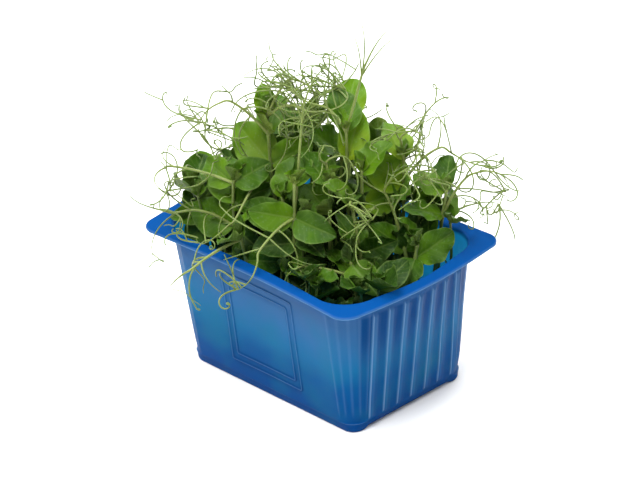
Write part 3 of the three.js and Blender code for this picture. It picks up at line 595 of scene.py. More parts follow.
def makeTray(shape):
    columns = trayColumns(shape)
    count = len(columns[0])
    height, wall, flange, step = shape["height"], shape["wall"], shape["flange"], shape["stepHeight"]
    foot, top, rim, bend = shape["footRadius"], shape["topRadius"], shape["rimRadius"], shape["innerBend"]
    footInset = wallInset(step) + shape["stepInset"]
    under = footInset + shape["footWidth"]
    rings, marks = [], [np.zeros((1, 3))]

    def addRing(inset, radius, z, bow=0.0, arch=0.0, highlight=0.0):
        rings.append(trayRing(columns, inset, radius, z, bow, arch)[0])
        marks.append(np.column_stack([np.full(count, highlight), np.zeros((count, 2))]))

    def addWall(z, inwards, withFrames):
        points, normals = trayRing(columns, wallInset(z) + inwards, wallRadius(z) - inwards, z, z / height)
        push, highlight, paintedShade = wallRelief(points, normals, columns[2], withFrames)
        push = push + sheetWave(points) * between(z, *sheetWaves["heights"], *sheetWaves["ends"])
        rings.append(points + normals * push[:, None])
        # marks of the wall: painted highlight, painted shade, and the painted glow of the inner face above
        # the medium
        isInside = inwards * risen(z, *shape["glowRise"]) / wall
        marks.append(np.column_stack([highlight, paintedShade, np.full(count, isInside)]))

    def addArc(inset, radius, z, size, start, end, steps, highlights=(0.0, 0.0)):
        for number in range(steps + 1):
            turn = math.radians(mix(start, end, number / steps))
            dx, dz = size * math.cos(turn), size * math.sin(turn)
            addRing(inset - dx, radius + dx, z + dz, bow=1, highlight=mix(*highlights, number / steps))

    def addFloor(shares, z):
        for share in shares:
            addRing(mix(shape["width"] / 2 - 1, under + 2, share), foot * share, z)

    # inside: floor, then up the wall
    addFloor((0.12, 0.5, 0.85), wall)
    addRing(under + 2, foot, wall)
    addRing(under, foot, wall, arch=1)
    addRing(footInset + wall + 1, foot - wall, wall, arch=1)
    addRing(footInset + wall, foot - wall, wall + 1, arch=0.8)
    for z in (7.5, 9, 12, 16, *np.arange(20, 90, 4.0), 90, 93):
        addWall(z, wall, False)
    # flange: rounded inner edge, flat top, rounded outer edge, lip, and back under it
    addArc(flange - 0.5, top, height - bend, bend, 180, 90, 5)
    for share in (0.2, 0.4, 0.6, 0.8):
        addRing(mix(flange - 0.5, wall, share), mix(top, rim - wall, share), height, bow=1)
    # painted highlight on the flange's rounded outer edge, brightest along the lip
    addArc(wall, rim - wall, height - wall, wall, 90, 0, 6, highlights=(0, 0.4))
    addArc(wall / 2, rim - wall / 2, height - shape["lip"] + wall / 2, wall / 2, 0, -180, 5, highlights=(1, 0))
    addRing(wall + 0.2, rim - wall - 0.2, height - wall - 0.2, bow=1)
    addRing(wall + 0.8, rim - wall - 0.8, height - wall, bow=1)
    addRing(flange - 1.6, top - 2, height - wall, bow=1)
    addRing(flange - 0.5, top - 0.5, height - wall - 0.4, bow=1)
    # outside: down the wall, close rows where the frames cross, then step and foot
    frames = [z + line for loop in panelFrame["loops"] for z in loop[1:] for line in panelFrame["lines"]]
    plain = [7.4, 8.4, 9.4, 10.8, 13, 19.2, 20.4, *np.arange(25, 73.5, 2.9), 78.2, 79.4,
             *np.arange(83.6, 95, 1.6)]
    for z in sorted([*frames, *plain], reverse=True):
        addWall(z, 0, True)
    addWall(step, 0, False)
    # painted highlight along the step's edge
    addRing(footInset - 1.1, foot + 3, step - 0.15, highlight=0.5)
    addRing(footInset - 0.4, foot + 1, step - 0.5)
    addRing(footInset, foot, step - 1)
    for outwards, z, arch in ((0.2, 3.5, 0.6), (0.4, 1.4, 1), (0.8, 0.4, 1), (1.5, 0, 1)):
        addRing(footInset + outwards, foot, z, arch=arch)
    addRing(under, foot, 0, arch=1)
    addRing(under + 2, foot, 0)
    addFloor((0.85, 0.5, 0.12), 0)
    points, faces = skinOver([0, 0, wall], rings, [0, 0, 0])
    parts = newParts()
    addPart(parts, points, faces, 0, np.concatenate([*marks, marks[0]]))
    piece = buildPiece(parts, "tray_sheet", [polypropyleneThermoformed(polypropylene)])
    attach(piece, "root")
    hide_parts("tray")


makeTray(trayShape)
print("tray: sheet with ribs, panel frames, flange and feet")


# The growth rule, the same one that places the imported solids: stems, then leaf stalks, leaves and tendrils,
# each looking for room between what already stands. All lengths are in mm.
stemHabit = {"footRadius": 1.5, "tipRadius": 1.0, "steps": 5, "lastNode": 0.975}
stalkHabit = {"rootRadius": 1.05, "steps": 3, "shift": 1.6}
tendrilHabit = {"rootRadius": 0.65, "steps": 5}
forkHabit = {"rootGap": 3, "firstSplay": 0.45, "outward": 0.85, "tilt": 90}
bladeHabit = {"taper": 0.82, "fullness": 0.6, "fold": 0.24, "droop": 0.16, "wave": 1.1, "waves": 2.2,
              "turn": 14, "climb": 0.4, "shrink": 0.015}
roomHabit = {
    "spacing": 2,
    "ownReach": 9,
    "stem": 1.9,
    "tendril": 1.05,
    "blade": 1.45,
    "bladeParts": [0.15, 0.26, 0.38, 0.5, 0.62, 0.74, 0.86, 0.96],
    "bladeSides": [-1, -0.67, -0.33, 0, 0.33, 0.67, 1],
    "attempts": 16,
    "leafAttempts": 24,
}
sprayHabit = {"lift": 3, "fan": 46, "gap": 8}
plainSpray = {"tendrils": 2, "reach": 30, "spread": 60, "curl": 16, "sag": 0.6}


# Park and Miller's generator: the same seed always gives the same row of numbers from 0 to 1.
def makeRandom(seed):
    modulus = 2147483647
    state = (seed * 7919 + 104729) % modulus

    def following():
        nonlocal state
        state = state * 16807 % modulus
        return state / modulus

    following()
    following()
    return following


def lengthOf(vector):
    return math.sqrt(vector @ vector)


def bowedPath(start, end, bow, steps):
    parts = [index / steps for index in range(steps + 1)]
    return [start + (end - start) * part + bow * math.sin(math.pi * part) for part in parts]


def tendrilPath(start, direction, axis, reach, curl, sag):
    steps, points, way = tendrilHabit["steps"], [start], unit(direction)
    for step in range(steps):
        tightening = 0.25 + 1.5 * step / (steps - 1)
        way = turned(way, axis, math.radians(curl * tightening))
        way = unit(way - worldUp * sag / steps)
        points.append(points[-1] + way * reach / steps)
    return points


def bladeAxes(leaf):
    along = heading(leaf["azimuth"], leaf["elevation"])
    face = turned(heading(leaf["azimuth"], leaf["elevation"] + 90), along, math.radians(leaf["roll"]))
    return along, np.cross(face, along), face


def bladeOutline(part):
    return np.sin(math.pi * part ** bladeHabit["taper"]).clip(0) ** bladeHabit["fullness"]


# The points of a leaf blade at parts of its length and at sides from -1 to 1.
def bladePoints(leaf, part, side):
    along, across, face = bladeAxes(leaf)
    reach = bladeOutline(part) * leaf["width"] / 2 * side
    phase = 2 * math.pi * (bladeHabit["waves"] * part + leaf["flutter"]) + side
    ripple = bladeHabit["wave"] * np.sin(phase) * np.abs(side) * part
    fold = leaf.get("fold", bladeHabit["fold"])
    rise = np.abs(reach) * fold - leaf["length"] * bladeHabit["droop"] * part * part + ripple
    return (leaf["root"] + along * (leaf["length"] * part)[:, None] + across * reach[:, None]
            + face * rise[:, None])


# How far points lie past the flange's sides, negative inside them.
def pastSides(points):
    x, y, z = points.T
    bow = np.maximum(z, 0) / trayShape["height"]
    halfLength, halfWidth = trayShape["length"] / 2, trayShape["width"] / 2

    def bulge(across, half):
        return bow * np.cos(np.minimum(np.abs(across) / half, 1) * math.pi / 2)

    return (np.abs(x) - halfLength - trayShape["bowShort"] * bulge(y, halfWidth - trayShape["flange"]),
            np.abs(y) - halfWidth + trayShape["bowLong"] * bulge(x, halfLength - trayShape["rimRadius"]))


def outsideRim(points):
    return np.maximum(*pastSides(points))


# Whether points clear the wall in the rounded corners too, where it stands further in than at the sides.
def clearOfCorners(points, keep):
    z = points[:, 2]
    inner = wallInset(z) + trayShape["wall"] + keep
    radius = wallRadius(z) - trayShape["wall"] - keep
    past = pastRounded(*[side + inner + radius for side in pastSides(points)], radius)
    return (past < 0) | (z > trayShape["height"] + keep) | (outsideRim(points) > keep - wallInset(z))


def clearOfTray(points, keep):
    z, outside = points[:, 2], outsideRim(points)
    above = (z > trayShape["height"] + keep) | (outside > keep)
    wall = -wallInset(z)
    inside = outside < wall - trayShape["wall"] - keep - 2
    under = (outside > wall + keep) & (z < trayShape["height"] - trayShape["lip"] - keep)
    return above | np.where(inside, z > mediumShape["top"] + 3, under)


def samples(path):
    points = []
    for start, end in zip(path, path[1:]):
        count = math.ceil(lengthOf(end - start) / roomHabit["spacing"])
        points += [start + (end - start) * ((step + 1) / count) for step in range(count)]
    return np.array(points)


# Parts and sides of a blade for every point of a grid over it.
def bladeGrid(parts, sides):
    return [grid.ravel() for grid in np.meshgrid(parts, sides, indexing="ij")]


sampleGrid = bladeGrid(roomHabit["bladeParts"], roomHabit["bladeSides"])


# What stands where: rows of a point, the room that it keeps free, its shoot, and whether it is on the stem.
taken = {"rows": np.zeros((0, 6))}


def take(points, keep, owner, isStem=False):
    rows = np.column_stack([points, np.tile((keep, owner, isStem), (len(points), 1))])
    taken["rows"] = np.concatenate([taken["rows"], rows])


def isClear(points, keep, owner, root):
    if not clearOfTray(points, keep).all():
        return False
    low, high = points.min(0) - keep - 2, points.max(0) + keep + 2
    rows = taken["rows"]
    rows = rows[((rows[:, :3] > low) & (rows[:, :3] < high)).all(1)]
    apart = np.linalg.norm(points[:, None] - rows[:, :3], axis=2)
    isAtRoot = np.linalg.norm(points - root, axis=1) < roomHabit["ownReach"]
    mayMeet = (rows[:, 4] == owner) & (isAtRoot[:, None] | (rows[:, 5] > 0))
    return bool((mayMeet | (apart > keep + rows[:, 3])).all())


def takeIfClear(points, keep, owner, root):
    if not isClear(points, keep, owner, root):
        return False
    take(points, keep, owner)
    return True


# Each shoot stands with its foot at [x, y] in the medium and grows to its tip at [x, y, z], in mm.
# bow is the stem's sideways bend. A node sits at a part of the stem. Its leaves are [azimuth, elevation,
# roll, length, width], and its sprays are leaf stalks that reach to a point and part there into tendrils.
shoots = [
    # front middle, one stalk over the rim and one straight up
    {"foot": [-2, -22], "tip": [10, -28, 146], "bow": [2, -3], "nodes": [
        {"at": 0.6, "leaves": [[250, 10, -45, 26, 20]]},
        {"at": 0.77, "leaves": [[245, 20, -80, 29, 20], [10, -10, 65, 29, 20]], "sprays": [
            {"to": [8, -59, 110], "tendrils": 5, "reach": 36, "spread": 100, "curl": 12, "sag": 0.7},
            {"to": [7, -15, 190], "tendrils": 4, "reach": 30, "spread": 20, "curl": 8, "sag": 0, "lift": 0,
             "gap": 4}]},
        {"at": 1, "leaves": [[120, 35, 45, 26, 13]]}]},
    # front right
    {"foot": [38, 0], "tip": [36, -5, 128], "bow": [5, -2], "nodes": [
        {"at": 0.46, "leaves": [[185, 20, -25, 32, 20], [295, -35, -20, 30, 24]]},
        {"at": 0.66, "leaves": [[140, 40, -10, 33, 25], [80, 5, 80, 28, 20]]},
        {"at": 1, "leaves": [[165, 35, 0, 30, 19]], "sprays": [
            {"to": [50, -20, 142], "tendrils": 3, "reach": 26, "spread": 50, "curl": 24, "sag": 0.2,
             "lift": 4}]}]},
    # thick stem at the right
    {"foot": [57, 22], "tip": [46, 19, 124], "bow": [4, 1], "nodes": [
        {"at": 0.46, "leaves": [[175, 25, -20, 34, 26], [35, 30, 50, 28, 22]]},
        {"at": 0.64, "leaves": [[90, 50, 85, 32, 20], [230, 50, -40, 27, 18]]},
        {"at": 1, "sprays": [
            {"to": [46, 13, 137], "tendrils": 6, "reach": 32, "spread": 80, "curl": 10, "sag": 0.4,
             "lift": 0}]}]},
    # right, level leaves
    {"foot": [58, 34], "tip": [70, 43, 134], "bow": [-2, 2], "nodes": [
        {"at": 0.8, "leaves": [[240, 25, -30, 28, 17], [65, 0, 85, 31, 22]], "sprays": [
            {"to": [80, 52, 143], "tendrils": 5, "reach": 32, "spread": 60, "curl": 14, "sag": 0.5,
             "fan": 60}]},
        {"at": 1, "leaves": [[130, 40, -15, 26, 16], [185, 20, -35, 24, 16]]}]},
    # back right
    {"foot": [34, 28], "tip": [44, 33, 152], "bow": [0, 3], "nodes": [
        {"at": 0.84, "leaves": [[240, 35, -70, 30, 24], [10, -10, 70, 28, 20]], "sprays": [
            {"to": [56, 54, 154], "tendrils": 5, "reach": 30, "spread": 110, "curl": 14, "sag": 1.2,
             "lift": 4}]},
        {"at": 1, "leaves": [[145, 40, -5, 28, 22], [195, 10, -35, 26, 20]], "sprays": [
            {"to": [46, 29, 167], "tendrils": 4, "reach": 24, "spread": 70, "curl": 26, "sag": 0.5,
             "lift": 0}]}]},
    # the tallest, a straight stalk on top
    {"foot": [14, 8], "tip": [18, 10, 172], "bow": [2, -1], "nodes": [
        {"at": 0.83, "leaves": [[100, 60, 40, 32, 20], [195, 45, -70, 31, 24]]},
        {"at": 1, "leaves": [[145, 45, 10, 31, 23], [70, 15, 65, 28, 21]], "sprays": [
            {"to": [24, 21, 209], "tendrils": 5, "reach": 30, "spread": 14, "curl": 4, "sag": 0, "lift": 0,
             "gap": 1},
            {"to": [9, 1, 187], "tendrils": 2, "reach": 26, "spread": 60, "curl": 16, "sag": 0.5,
             "fan": 226}]}]},
    # top left, arching sprays
    {"foot": [-26, 0], "tip": [-29, -12, 176], "bow": [-3, -2], "nodes": [
        {"at": 0.72, "leaves": [[195, 45, -50, 33, 27], [35, 30, 85, 30, 22]], "sprays": [
            {"to": [-24, -48, 117], "tendrils": 4, "reach": 34, "spread": 80, "curl": 12, "sag": 1,
             "fan": 210}]},
        {"at": 0.88, "leaves": [[120, 35, -5, 30, 20], [165, 35, -15, 26, 17]], "sprays": [
            {"to": [-40, -33, 188], "tendrils": 5, "reach": 30, "spread": 90, "curl": 10, "sag": 0.9,
             "fan": 226}]},
        {"at": 1, "leaves": [[150, 65, -10, 20, 14]], "sprays": [
            {"to": [-15, -5, 200], "tendrils": 6, "reach": 40, "spread": 110, "curl": 14, "sag": 1},
            {"to": [2, -6, 184], "tendrils": 3, "reach": 32, "spread": 70, "curl": 20, "sag": 0.5,
             "lift": 6}]}]},
    # left
    {"foot": [-42, -22], "tip": [-36, -37, 136], "bow": [-4, -2], "nodes": [
        {"at": 0.62, "leaves": [[220, 15, -60, 31, 26], [0, -25, 60, 26, 18]], "sprays": [
            {"to": [-68, -60, 111], "tendrils": 4, "reach": 30, "spread": 50, "curl": 12, "sag": 0.5,
             "lift": 6, "fan": 226}]},
        {"at": 0.8, "leaves": [[145, 40, -5, 34, 28], [85, 10, 65, 28, 20]]},
        {"at": 1, "leaves": [[85, 15, 60, 28, 22], [195, 10, -65, 28, 20]], "sprays": [
            {"to": [-75, -54, 139], "tendrils": 4, "reach": 26, "spread": 60, "curl": 20, "sag": 0.6,
             "lift": 2, "fan": 226}]}]},
    # its stalk hangs out over the front rim's left
    {"foot": [-20, -30], "tip": [-16, -52, 110], "bow": [0, -2], "nodes": [
        {"at": 0.72, "leaves": [[25, 5, 75, 24, 18], [170, 10, -60, 24, 18]]},
        {"at": 0.96, "leaves": [[300, 15, 30, 22, 15], [200, 20, -40, 24, 16]], "sprays": [
            {"to": [-24, -87, 98], "tendrils": 5, "reach": 28, "spread": 60, "curl": 16, "sag": 1.3,
             "lift": 2, "fan": 180, "gap": 5}]}]},
    # far left, a leaf on the flange
    {"foot": [-58, -20], "tip": [-60, -32, 112], "bow": [-2, 0], "nodes": [
        {"at": 0.86, "leaves": [[230, 0, -50, 29, 16], [255, -40, -30, 27, 20]]},
        {"at": 1, "leaves": [[190, 15, -50, 27, 20], [125, 35, 10, 27, 20]]}]},
    # behind the front middle
    {"foot": [-8, -10], "tip": [-5, -25, 130], "bow": [0, -2], "nodes": [
        {"at": 0.78, "leaves": [[190, 15, -50, 31, 23], [80, 5, 65, 28, 20]]},
        {"at": 1, "leaves": [[140, 40, 0, 33, 21], [95, 25, 60, 26, 18]]}]},
    # middle, a dense tangle
    {"foot": [20, -14], "tip": [20, -8, 142], "bow": [2, -2], "nodes": [
        {"at": 0.45, "leaves": [[255, 0, -60, 28, 22], [30, 25, 80, 26, 20]]},
        {"at": 0.8, "leaves": [[175, 25, -35, 28, 20], [75, 5, 65, 26, 19]]},
        {"at": 1, "leaves": [[155, 35, -15, 28, 22]], "sprays": [
            {"to": [16, -6, 154], "tendrils": 5, "reach": 28, "spread": 85, "curl": 34, "sag": 0.6,
             "lift": 0}]}]},
    # middle right
    {"foot": [30, 12], "tip": [32, 8, 148], "bow": [0, -2], "nodes": [
        {"at": 0.78, "leaves": [[170, 30, -30, 28, 20], [75, 0, 70, 28, 20]]},
        {"at": 1, "leaves": [[105, 30, 30, 30, 24], [170, 30, -30, 28, 20]]}]},
    # low at the front
    {"foot": [48, -16], "tip": [46, -18, 100], "bow": [2, 0], "nodes": [
        {"at": 0.82, "leaves": [[80, 5, 65, 27, 20]], "sprays": [
            {"to": [28, -42, 100], "tendrils": 4, "reach": 26, "spread": 60, "curl": 22, "sag": 0.3,
             "lift": 2, "fan": 226}]},
        {"at": 1, "leaves": [[145, 35, 5, 27, 19], [355, -25, 35, 25, 20]]}]},
    # low at the right rim
    {"foot": [62, 8], "tip": [69, 17, 106], "bow": [0, 0], "nodes": [
        {"at": 0.86, "leaves": [[55, 15, 75, 30, 22], [305, -35, 0, 26, 20]]},
        {"at": 1, "leaves": [[100, 25, 35, 26, 20]]}]},
]

# The shoots behind and between them, drawn by rule: foot and height of the tip.
plainShoots = [([-50, 26], 130), ([-32, 10], 156), ([-24, 32], 148), ([-2, 24], 166), ([12, 38], 146),
               ([-58, 4], 122), ([42, 42], 114)]


def plainShoot(foot, height, number):
    random = makeRandom(number)
    x, y = foot
    outward = math.degrees(math.atan2(y, x))

    def node(at, turn, hasSpray):
        azimuth = outward + turn + 50 * (random() - 0.5)
        reach = heading(azimuth, 20 + 45 * random()) * (20 + 12 * random())
        leaves = [(azimuth + side * (60 + 30 * random()), 20 + 40 * random(), 50 * (random() - 0.5),
                   27 + 7 * random(), 21 + 5 * random()) for side in (1, -1)]
        return {"at": at, "leaves": leaves,
                "sprays": [{**plainSpray, "by": reach, "fan": azimuth + 90}] if hasSpray else []}

    return {"foot": foot, "tip": (x * 1.2 + 10 * (random() - 0.5), y * 1.2 + 10 * (random() - 0.5), height),
            "bow": (6 * (random() - 0.5), 6 * (random() - 0.5)),
            "nodes": [node(0.42, 90, False), node(0.6, 180, False), node(0.8, 0, True), node(1, 120, False)]}


def stemPoint(shoot, part):
    foot = vec(*shoot["foot"], mediumShape["top"])
    return foot + (vec(*shoot["tip"]) - foot) * part + vec(*shoot["bow"], 0) * math.sin(math.pi * part)


# The point at a distance back from the end of a path, and the way the path runs there.
def pointBack(path, distance):
    step = len(path) - 1
    while step > 1 and distance > lengthOf(path[step] - path[step - 1]):
        distance -= lengthOf(path[step] - path[step - 1])
        step -= 1
    forward = unit(path[step] - path[step - 1])
    return path[step] - forward * distance, forward


def growTendrils(spray, path, owner, random):
    grown = []
    for number in range(spray["tendrils"]):
        pair, side = number // 2, 1 if number % 2 == 0 else -1
        start, forward = pointBack(path, 0 if number == 0 else pair * spray["gap"] + forkHabit["rootGap"])
        across = heading(spray["fan"], 0)
        across = unit(across - forward * (across @ forward))
        spread = math.radians(spray["spread"] * (forkHabit["firstSplay"] if pair == 0 else 1))
        for attempt in range(roomHabit["attempts"]):
            splay = spread * (0.7 + 0.6 * random())
            way = forward * math.cos(splay) + across * side * math.sin(splay)
            tilt = math.radians(forkHabit["tilt"] * (random() - 0.5))
            axis = turned(np.cross(forward, across), way, tilt)
            turn = side if random() < forkHabit["outward"] else -side
            curl = spray["curl"] * turn * (0.7 + 0.6 * random())
            reach = spray["reach"] * (0.7 + 0.5 * random())
            points = tendrilPath(start, way, axis, reach, curl, spray["sag"])
            if takeIfClear(samples(points), roomHabit["tendril"], owner, start):
                grown.append((points, axis * (1 if curl > 0 else -1)))
                break
    return grown


def growStalk(own, root, owner, random):
    spray = {**sprayHabit, **own}
    for attempt in range(roomHabit["attempts"]):
        shift = vec(random() - 0.5, random() - 0.5, random() - 0.5)
        end = vec(*spray["to"]) if "to" in spray else root + spray["by"]
        end = end + shift * stalkHabit["shift"] * attempt
        path = bowedPath(root, end, worldUp * spray["lift"], stalkHabit["steps"])
        if takeIfClear(samples(path), roomHabit["tendril"], owner, root):
            return [(spray, path)]
    return []


def growLeaf(habit, root, owner, random):
    azimuth, elevation, roll, length, width = habit
    flutter = random()
    for attempt in range(roomHabit["leafAttempts"]):
        turn = math.ceil(attempt / 2) * bladeHabit["turn"]
        size = 1 - bladeHabit["shrink"] * attempt
        leaf = {
            "root": root + heading(azimuth, elevation) * stemHabit["tipRadius"] * 0.6,
            "azimuth": azimuth + (turn if attempt % 2 == 0 else -turn),
            "elevation": elevation + turn * bladeHabit["climb"],
            "roll": roll,
            "length": length * size,
            "width": width * size,
            "flutter": flutter,
        }
        if takeIfClear(bladePoints(leaf, *sampleGrid), roomHabit["blade"], owner, root):
            return [leaf]
    return []


def growAll(specs):
    plants = [{"shoot": shoot} for shoot in specs]
    for owner, plant in enumerate(plants):
        shoot = plant["shoot"]
        plant["nodes"] = [(node, stemPoint(shoot, min(node["at"], stemHabit["lastNode"])))
                          for node in shoot["nodes"]]
        path = [stemPoint(shoot, step / stemHabit["steps"]) for step in range(stemHabit["steps"] + 1)]
        take(samples(path), roomHabit["stem"], owner, True)
    for kind, seed, grow in (("sprays", 100, growStalk), ("leaves", 200, growLeaf)):
        for owner, plant in enumerate(plants):
            random = makeRandom(owner + seed)
            plant[kind] = [grown for node, root in plant["nodes"] for item in node.get(kind, [])
                           for grown in grow(item, root, owner, random)]
    for owner, plant in enumerate(plants):
        random = makeRandom(owner + 300)
        plant["sprays"] = [(spray, path, growTendrils(spray, path, owner, random))
                           for spray, path in plant["sprays"]]
    return plants


# The growing medium fills the tray to a little under half: an uneven top of crumbs, fibres and seed peas.
mediumShape = {
    "top": 40.0,  # mm
    "bottom": 3.2,
    "wallGap": 0.45,
    "relief": 1.3,
    "tone": 0.1,
    "lattice": 46,  # rings over the top
    "crumbs": 1500,
    "crumbSize": (0.7, 2.3),
    "fibres": 170,
    "fibreLength": (5, 15),
    "fibreRadius": (0.12, 0.26),
    "fibreField": (66, 42),  # half length and width of where they lie
    "extraPeas": 60,
    "peaRadius": 3.7,
}


def mediumHeight(x, y):
    coarse = math.sin(0.071 * x + 0.3) * math.cos(0.064 * y - 0.23)
    fine = noise.fractal(Vector((x * 0.16, y * 0.16, 3.1)), 0.8, 2.1, 4)
    return mediumShape["top"] + mediumShape["relief"] * (0.4 * coarse + 0.6 * fine)


def makeMedium(shape):
    columns = trayColumns(trayShape, fine=False)
    inwards = trayShape["wall"] + shape["wallGap"]

    def ring(z, gap=0.0):
        return trayRing(columns, wallInset(z) + inwards + gap, wallRadius(z) - inwards, z,
                        z / trayShape["height"])[0]

    top, rings = ring(shape["top"], 0.3), []
    for step in range(1, shape["lattice"] + 1):
        level = top * (step / shape["lattice"])
        level[:, 2] = [mediumHeight(x, y) for x, y, z in level]
        rings.append(level)
    rings += [ring(z) for z in (37, 28, 18, 10, trayShape["stepHeight"] + 1)]  # down the side
    footInset = wallInset(trayShape["stepHeight"]) + trayShape["stepInset"]
    rings.append(trayRing(columns, footInset + inwards, trayShape["footRadius"] - trayShape["wall"],
                          shape["bottom"])[0])
    parts = newParts()
    points, faces = skinOver([0, 0, mediumHeight(0, 0)], rings, [0, 0, shape["bottom"]])
    addPart(parts, points, faces, 0, (0, 0, shape["tone"]))
    random = np.random.default_rng(7)

    def placeOnTop():
        corner = top[random.integers(len(top)), :2] * 0.97
        return corner * math.sqrt(random.random())

    for number in range(shape["crumbs"]):
        x, y = placeOnTop()
        size = random.uniform(*shape["crumbSize"])
        ball, faces = balls[1]
        ball = ball * random.uniform(0.65, 1.2, (len(ball), 3)) * size
        ball = ball * [1, 1, 0.8] + [x, y, mediumHeight(x, y) + 0.25 * size]
        addPart(parts, ball, faces, 0, (0, 0, random.uniform(-0.2, 0.3)))
    for number in range(shape["fibres"]):
        x, y = placeOnTop()
        azimuth, length = random.uniform(0, 360), random.uniform(*shape["fibreLength"])
        path = [vec(x, y, mediumHeight(x, y) + 0.3)]
        for step in range(6):
            azimuth += random.normal(0, 22)
            path.append(path[-1] + heading(azimuth, random.normal(4, 14)) * length / 6)
        path = np.array(path)
        if (np.abs(path[:, :2]) < shape["fibreField"]).all():
            tube, faces = tubeMesh(path, np.full(len(path), random.uniform(*shape["fibreRadius"])), 5)
            addPart(parts, tube, faces, 0, (0, 0, random.uniform(0.3, 0.6)))
    for number in range(shape["extraPeas"]):
        x, y = placeOnTop()
        addPea(parts, vec(x, y, mediumHeight(x, y) + random.uniform(-0.5, 1.6)), 1, random)
    piece = buildPiece(parts, "medium_crumbs", [peatMilled(peatMix), peaSkin(seedPea)])
    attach(piece, "root")
    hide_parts("growing_medium")


# Fine shapes of the shoots, round the same paths and blades. Lengths are in mm, and paleness is given at a
# tube's start and at its end.
shootLook = {
    "stemSides": 10,
    "stemSteps": 34,
    "stemSunk": 1.5,
    "stemSlim": 0.95,
    "stemPaleness": (0.2, 0.75),
    "nodeSwell": 0.32,
    "nodeLength": 2.2,
    "peaPlace": (0.8, 0.5, 0.3),
    "stalkPaleness": (0.9, 0.35),
    "tendrilSides": 7,
    "tendrilPaleness": (0.6, 0.3),
    "tendrilTip": 0.24,
    "pathSteps": 5,  # mesh steps between two points of a path
    "straightBelow": 9,  # degrees a step: a spray that curls less keeps straight ends
    "curlShare": 0.65,  # tendrils that end in a tight curl
    "curlTurns": (0.6, 2.2),
    "curlRadius": (1.1, 2.8),
    "curlTightens": (2.4, 0.55),
    "curlStep": 0.42,
    "fineShare": 0.31,  # thin side tendrils for each mm of a spray's reach
    "fineLength": (12, 34),
    "fineRadius": 0.57,
    "fineBends": ((0, 2.5), (3, 17)),  # degrees a step, at the start and at the end
    "fineSag": 0.008,
    "bareHeight": 75,  # the higher above this a spray stands, the more thin tendrils it has
    "fullHeight": 72,  # the usual number of them so far above that
    "fullness": (0.35, 1.9),  # the least and the most of that number
    "topLean": (-0.5, -0.45, 0.3),  # the highest thin tendrils reach to one side
    "leanRise": (150, 40),  # from this height, and over how much
    "boxSpare": 2,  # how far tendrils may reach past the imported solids' box
    "leftEnd": -152,  # x + y of the furthest point to the left that they may reach
    "trayGap": 0.6,
}
leafLook = {
    "rows": 30,
    "columns": 15,
    "thickness": 0.42,
    "groove": 0.45,
    "pucker": 0.26,
    "veins": 7.0,
    "slant": 2.1,
    "tooth": 0.016,
    "ruffle": 1.0,
    "cup": (-1.6, 4.2),  # how far the margins rise or fall beyond the plain blade
    "twist": 24.0,  # degrees from root to tip
    "petiole": (0.66, 0.55, 0.275),  # radii
    "trayGap": 0.4,
}
# Leaf tone is partly age and partly painted light and shade: low leaves are darker as painted shade, high
# leaves far out lighter as painted light.
leafTones = {  # how young the leaves look, from 0 to 1
    "low": -0.43,  # at the height of the table
    "rise": 0.6,  # added up to the height of the rim, and so on above it
    "spread": 0.22,
    "most": (0.3, 0.66),  # the limit for low leaves and for high ones
    # painted light: high leaves far out are lighter still
    "farOut": (85, 60),  # from here outwards the high leaves are younger still, and so is their limit
    "outer": 0.28,
    "mostOuter": 0.12,
}
# bud tone rises with the height of the tip: young yellow-green, with painted shade on buds of low shoots
budLook = {"length": (9, 15), "width": (6, 9), "elevation": (60, 78), "roll": (-15, 15), "turn": (-25, 25),
           "fold": 0.75, "tone": (0.15, 0.6), "mesh": (12, 7)}


# A closed tube along points, its section carried along without twisting.
def tubeMesh(path, radii, sides):
    tangents = np.gradient(path, axis=0)
    tangents /= np.linalg.norm(tangents, axis=1)[:, None]
    across = worldUp if abs(tangents[0][2]) < 0.9 else vec(1, 0, 0)
    turns = np.arange(sides) * 2 * math.pi / sides
    points = []
    for point, tangent, radius in zip(path, tangents, radii):
        across = unit(across - tangent * (across @ tangent))
        other = np.cross(tangent, across)
        points.append(point + radius * (np.cos(turns)[:, None] * across + np.sin(turns)[:, None] * other))
    start = path[0] - tangents[0] * radii[0] * 0.4
    end = path[-1] + tangents[-1] * radii[-1] * 0.9
    first, ring = len(path) * sides, (len(path) - 1) * sides
    faces = gridFaces(len(path), sides, closed=True)
    for corner in range(sides):
        following = (corner + 1) % sides
        faces += [(first, following, corner), (first + 1, ring + corner, ring + following)]
    return np.concatenate([*points, [start, end]]), faces


# A smooth curve through points, with so many steps between each two.
def smoothPath(points, steps):
    points = [2 * points[0] - points[1], *points, 2 * points[-1] - points[-2]]
    curve = []
    for before, start, end, after in zip(points, points[1:], points[2:], points[3:]):
        for t in np.arange(steps) / steps:
            square, cube = 2 * before - 5 * start + 4 * end - after, 3 * start - before - 3 * end + after
            curve.append(0.5 * (2 * start + (end - before) * t + square * t * t + cube * t ** 3))
    return np.array([*curve, points[-2]])


def roundBall(level):
    ball = bmesh.new()
    bmesh.ops.create_icosphere(ball, subdivisions=level, radius=1)
    ball.verts.index_update()
    points = np.array([vertex.co for vertex in ball.verts])
    faces = [tuple(vertex.index for vertex in face.verts) for face in ball.faces]
    ball.free()
    return points, faces


balls = {level: roundBall(level) for level in (1, 3)}


def addPea(parts, centre, slot, random):
    ball, faces = balls[3]
    shift = random.uniform(0, 50)
    dents = np.array([noise.fractal(Vector(point * 1.6 + shift), 0.9, 2.0, 3) for point in ball])
    # two draws, of which the size takes the first
    size = mediumShape["peaRadius"] * (1 + 0.1 * dents) * random.uniform(0.9, 1.08, 2)[0]
    addPart(parts, ball * size[:, None] + centre, faces, slot)


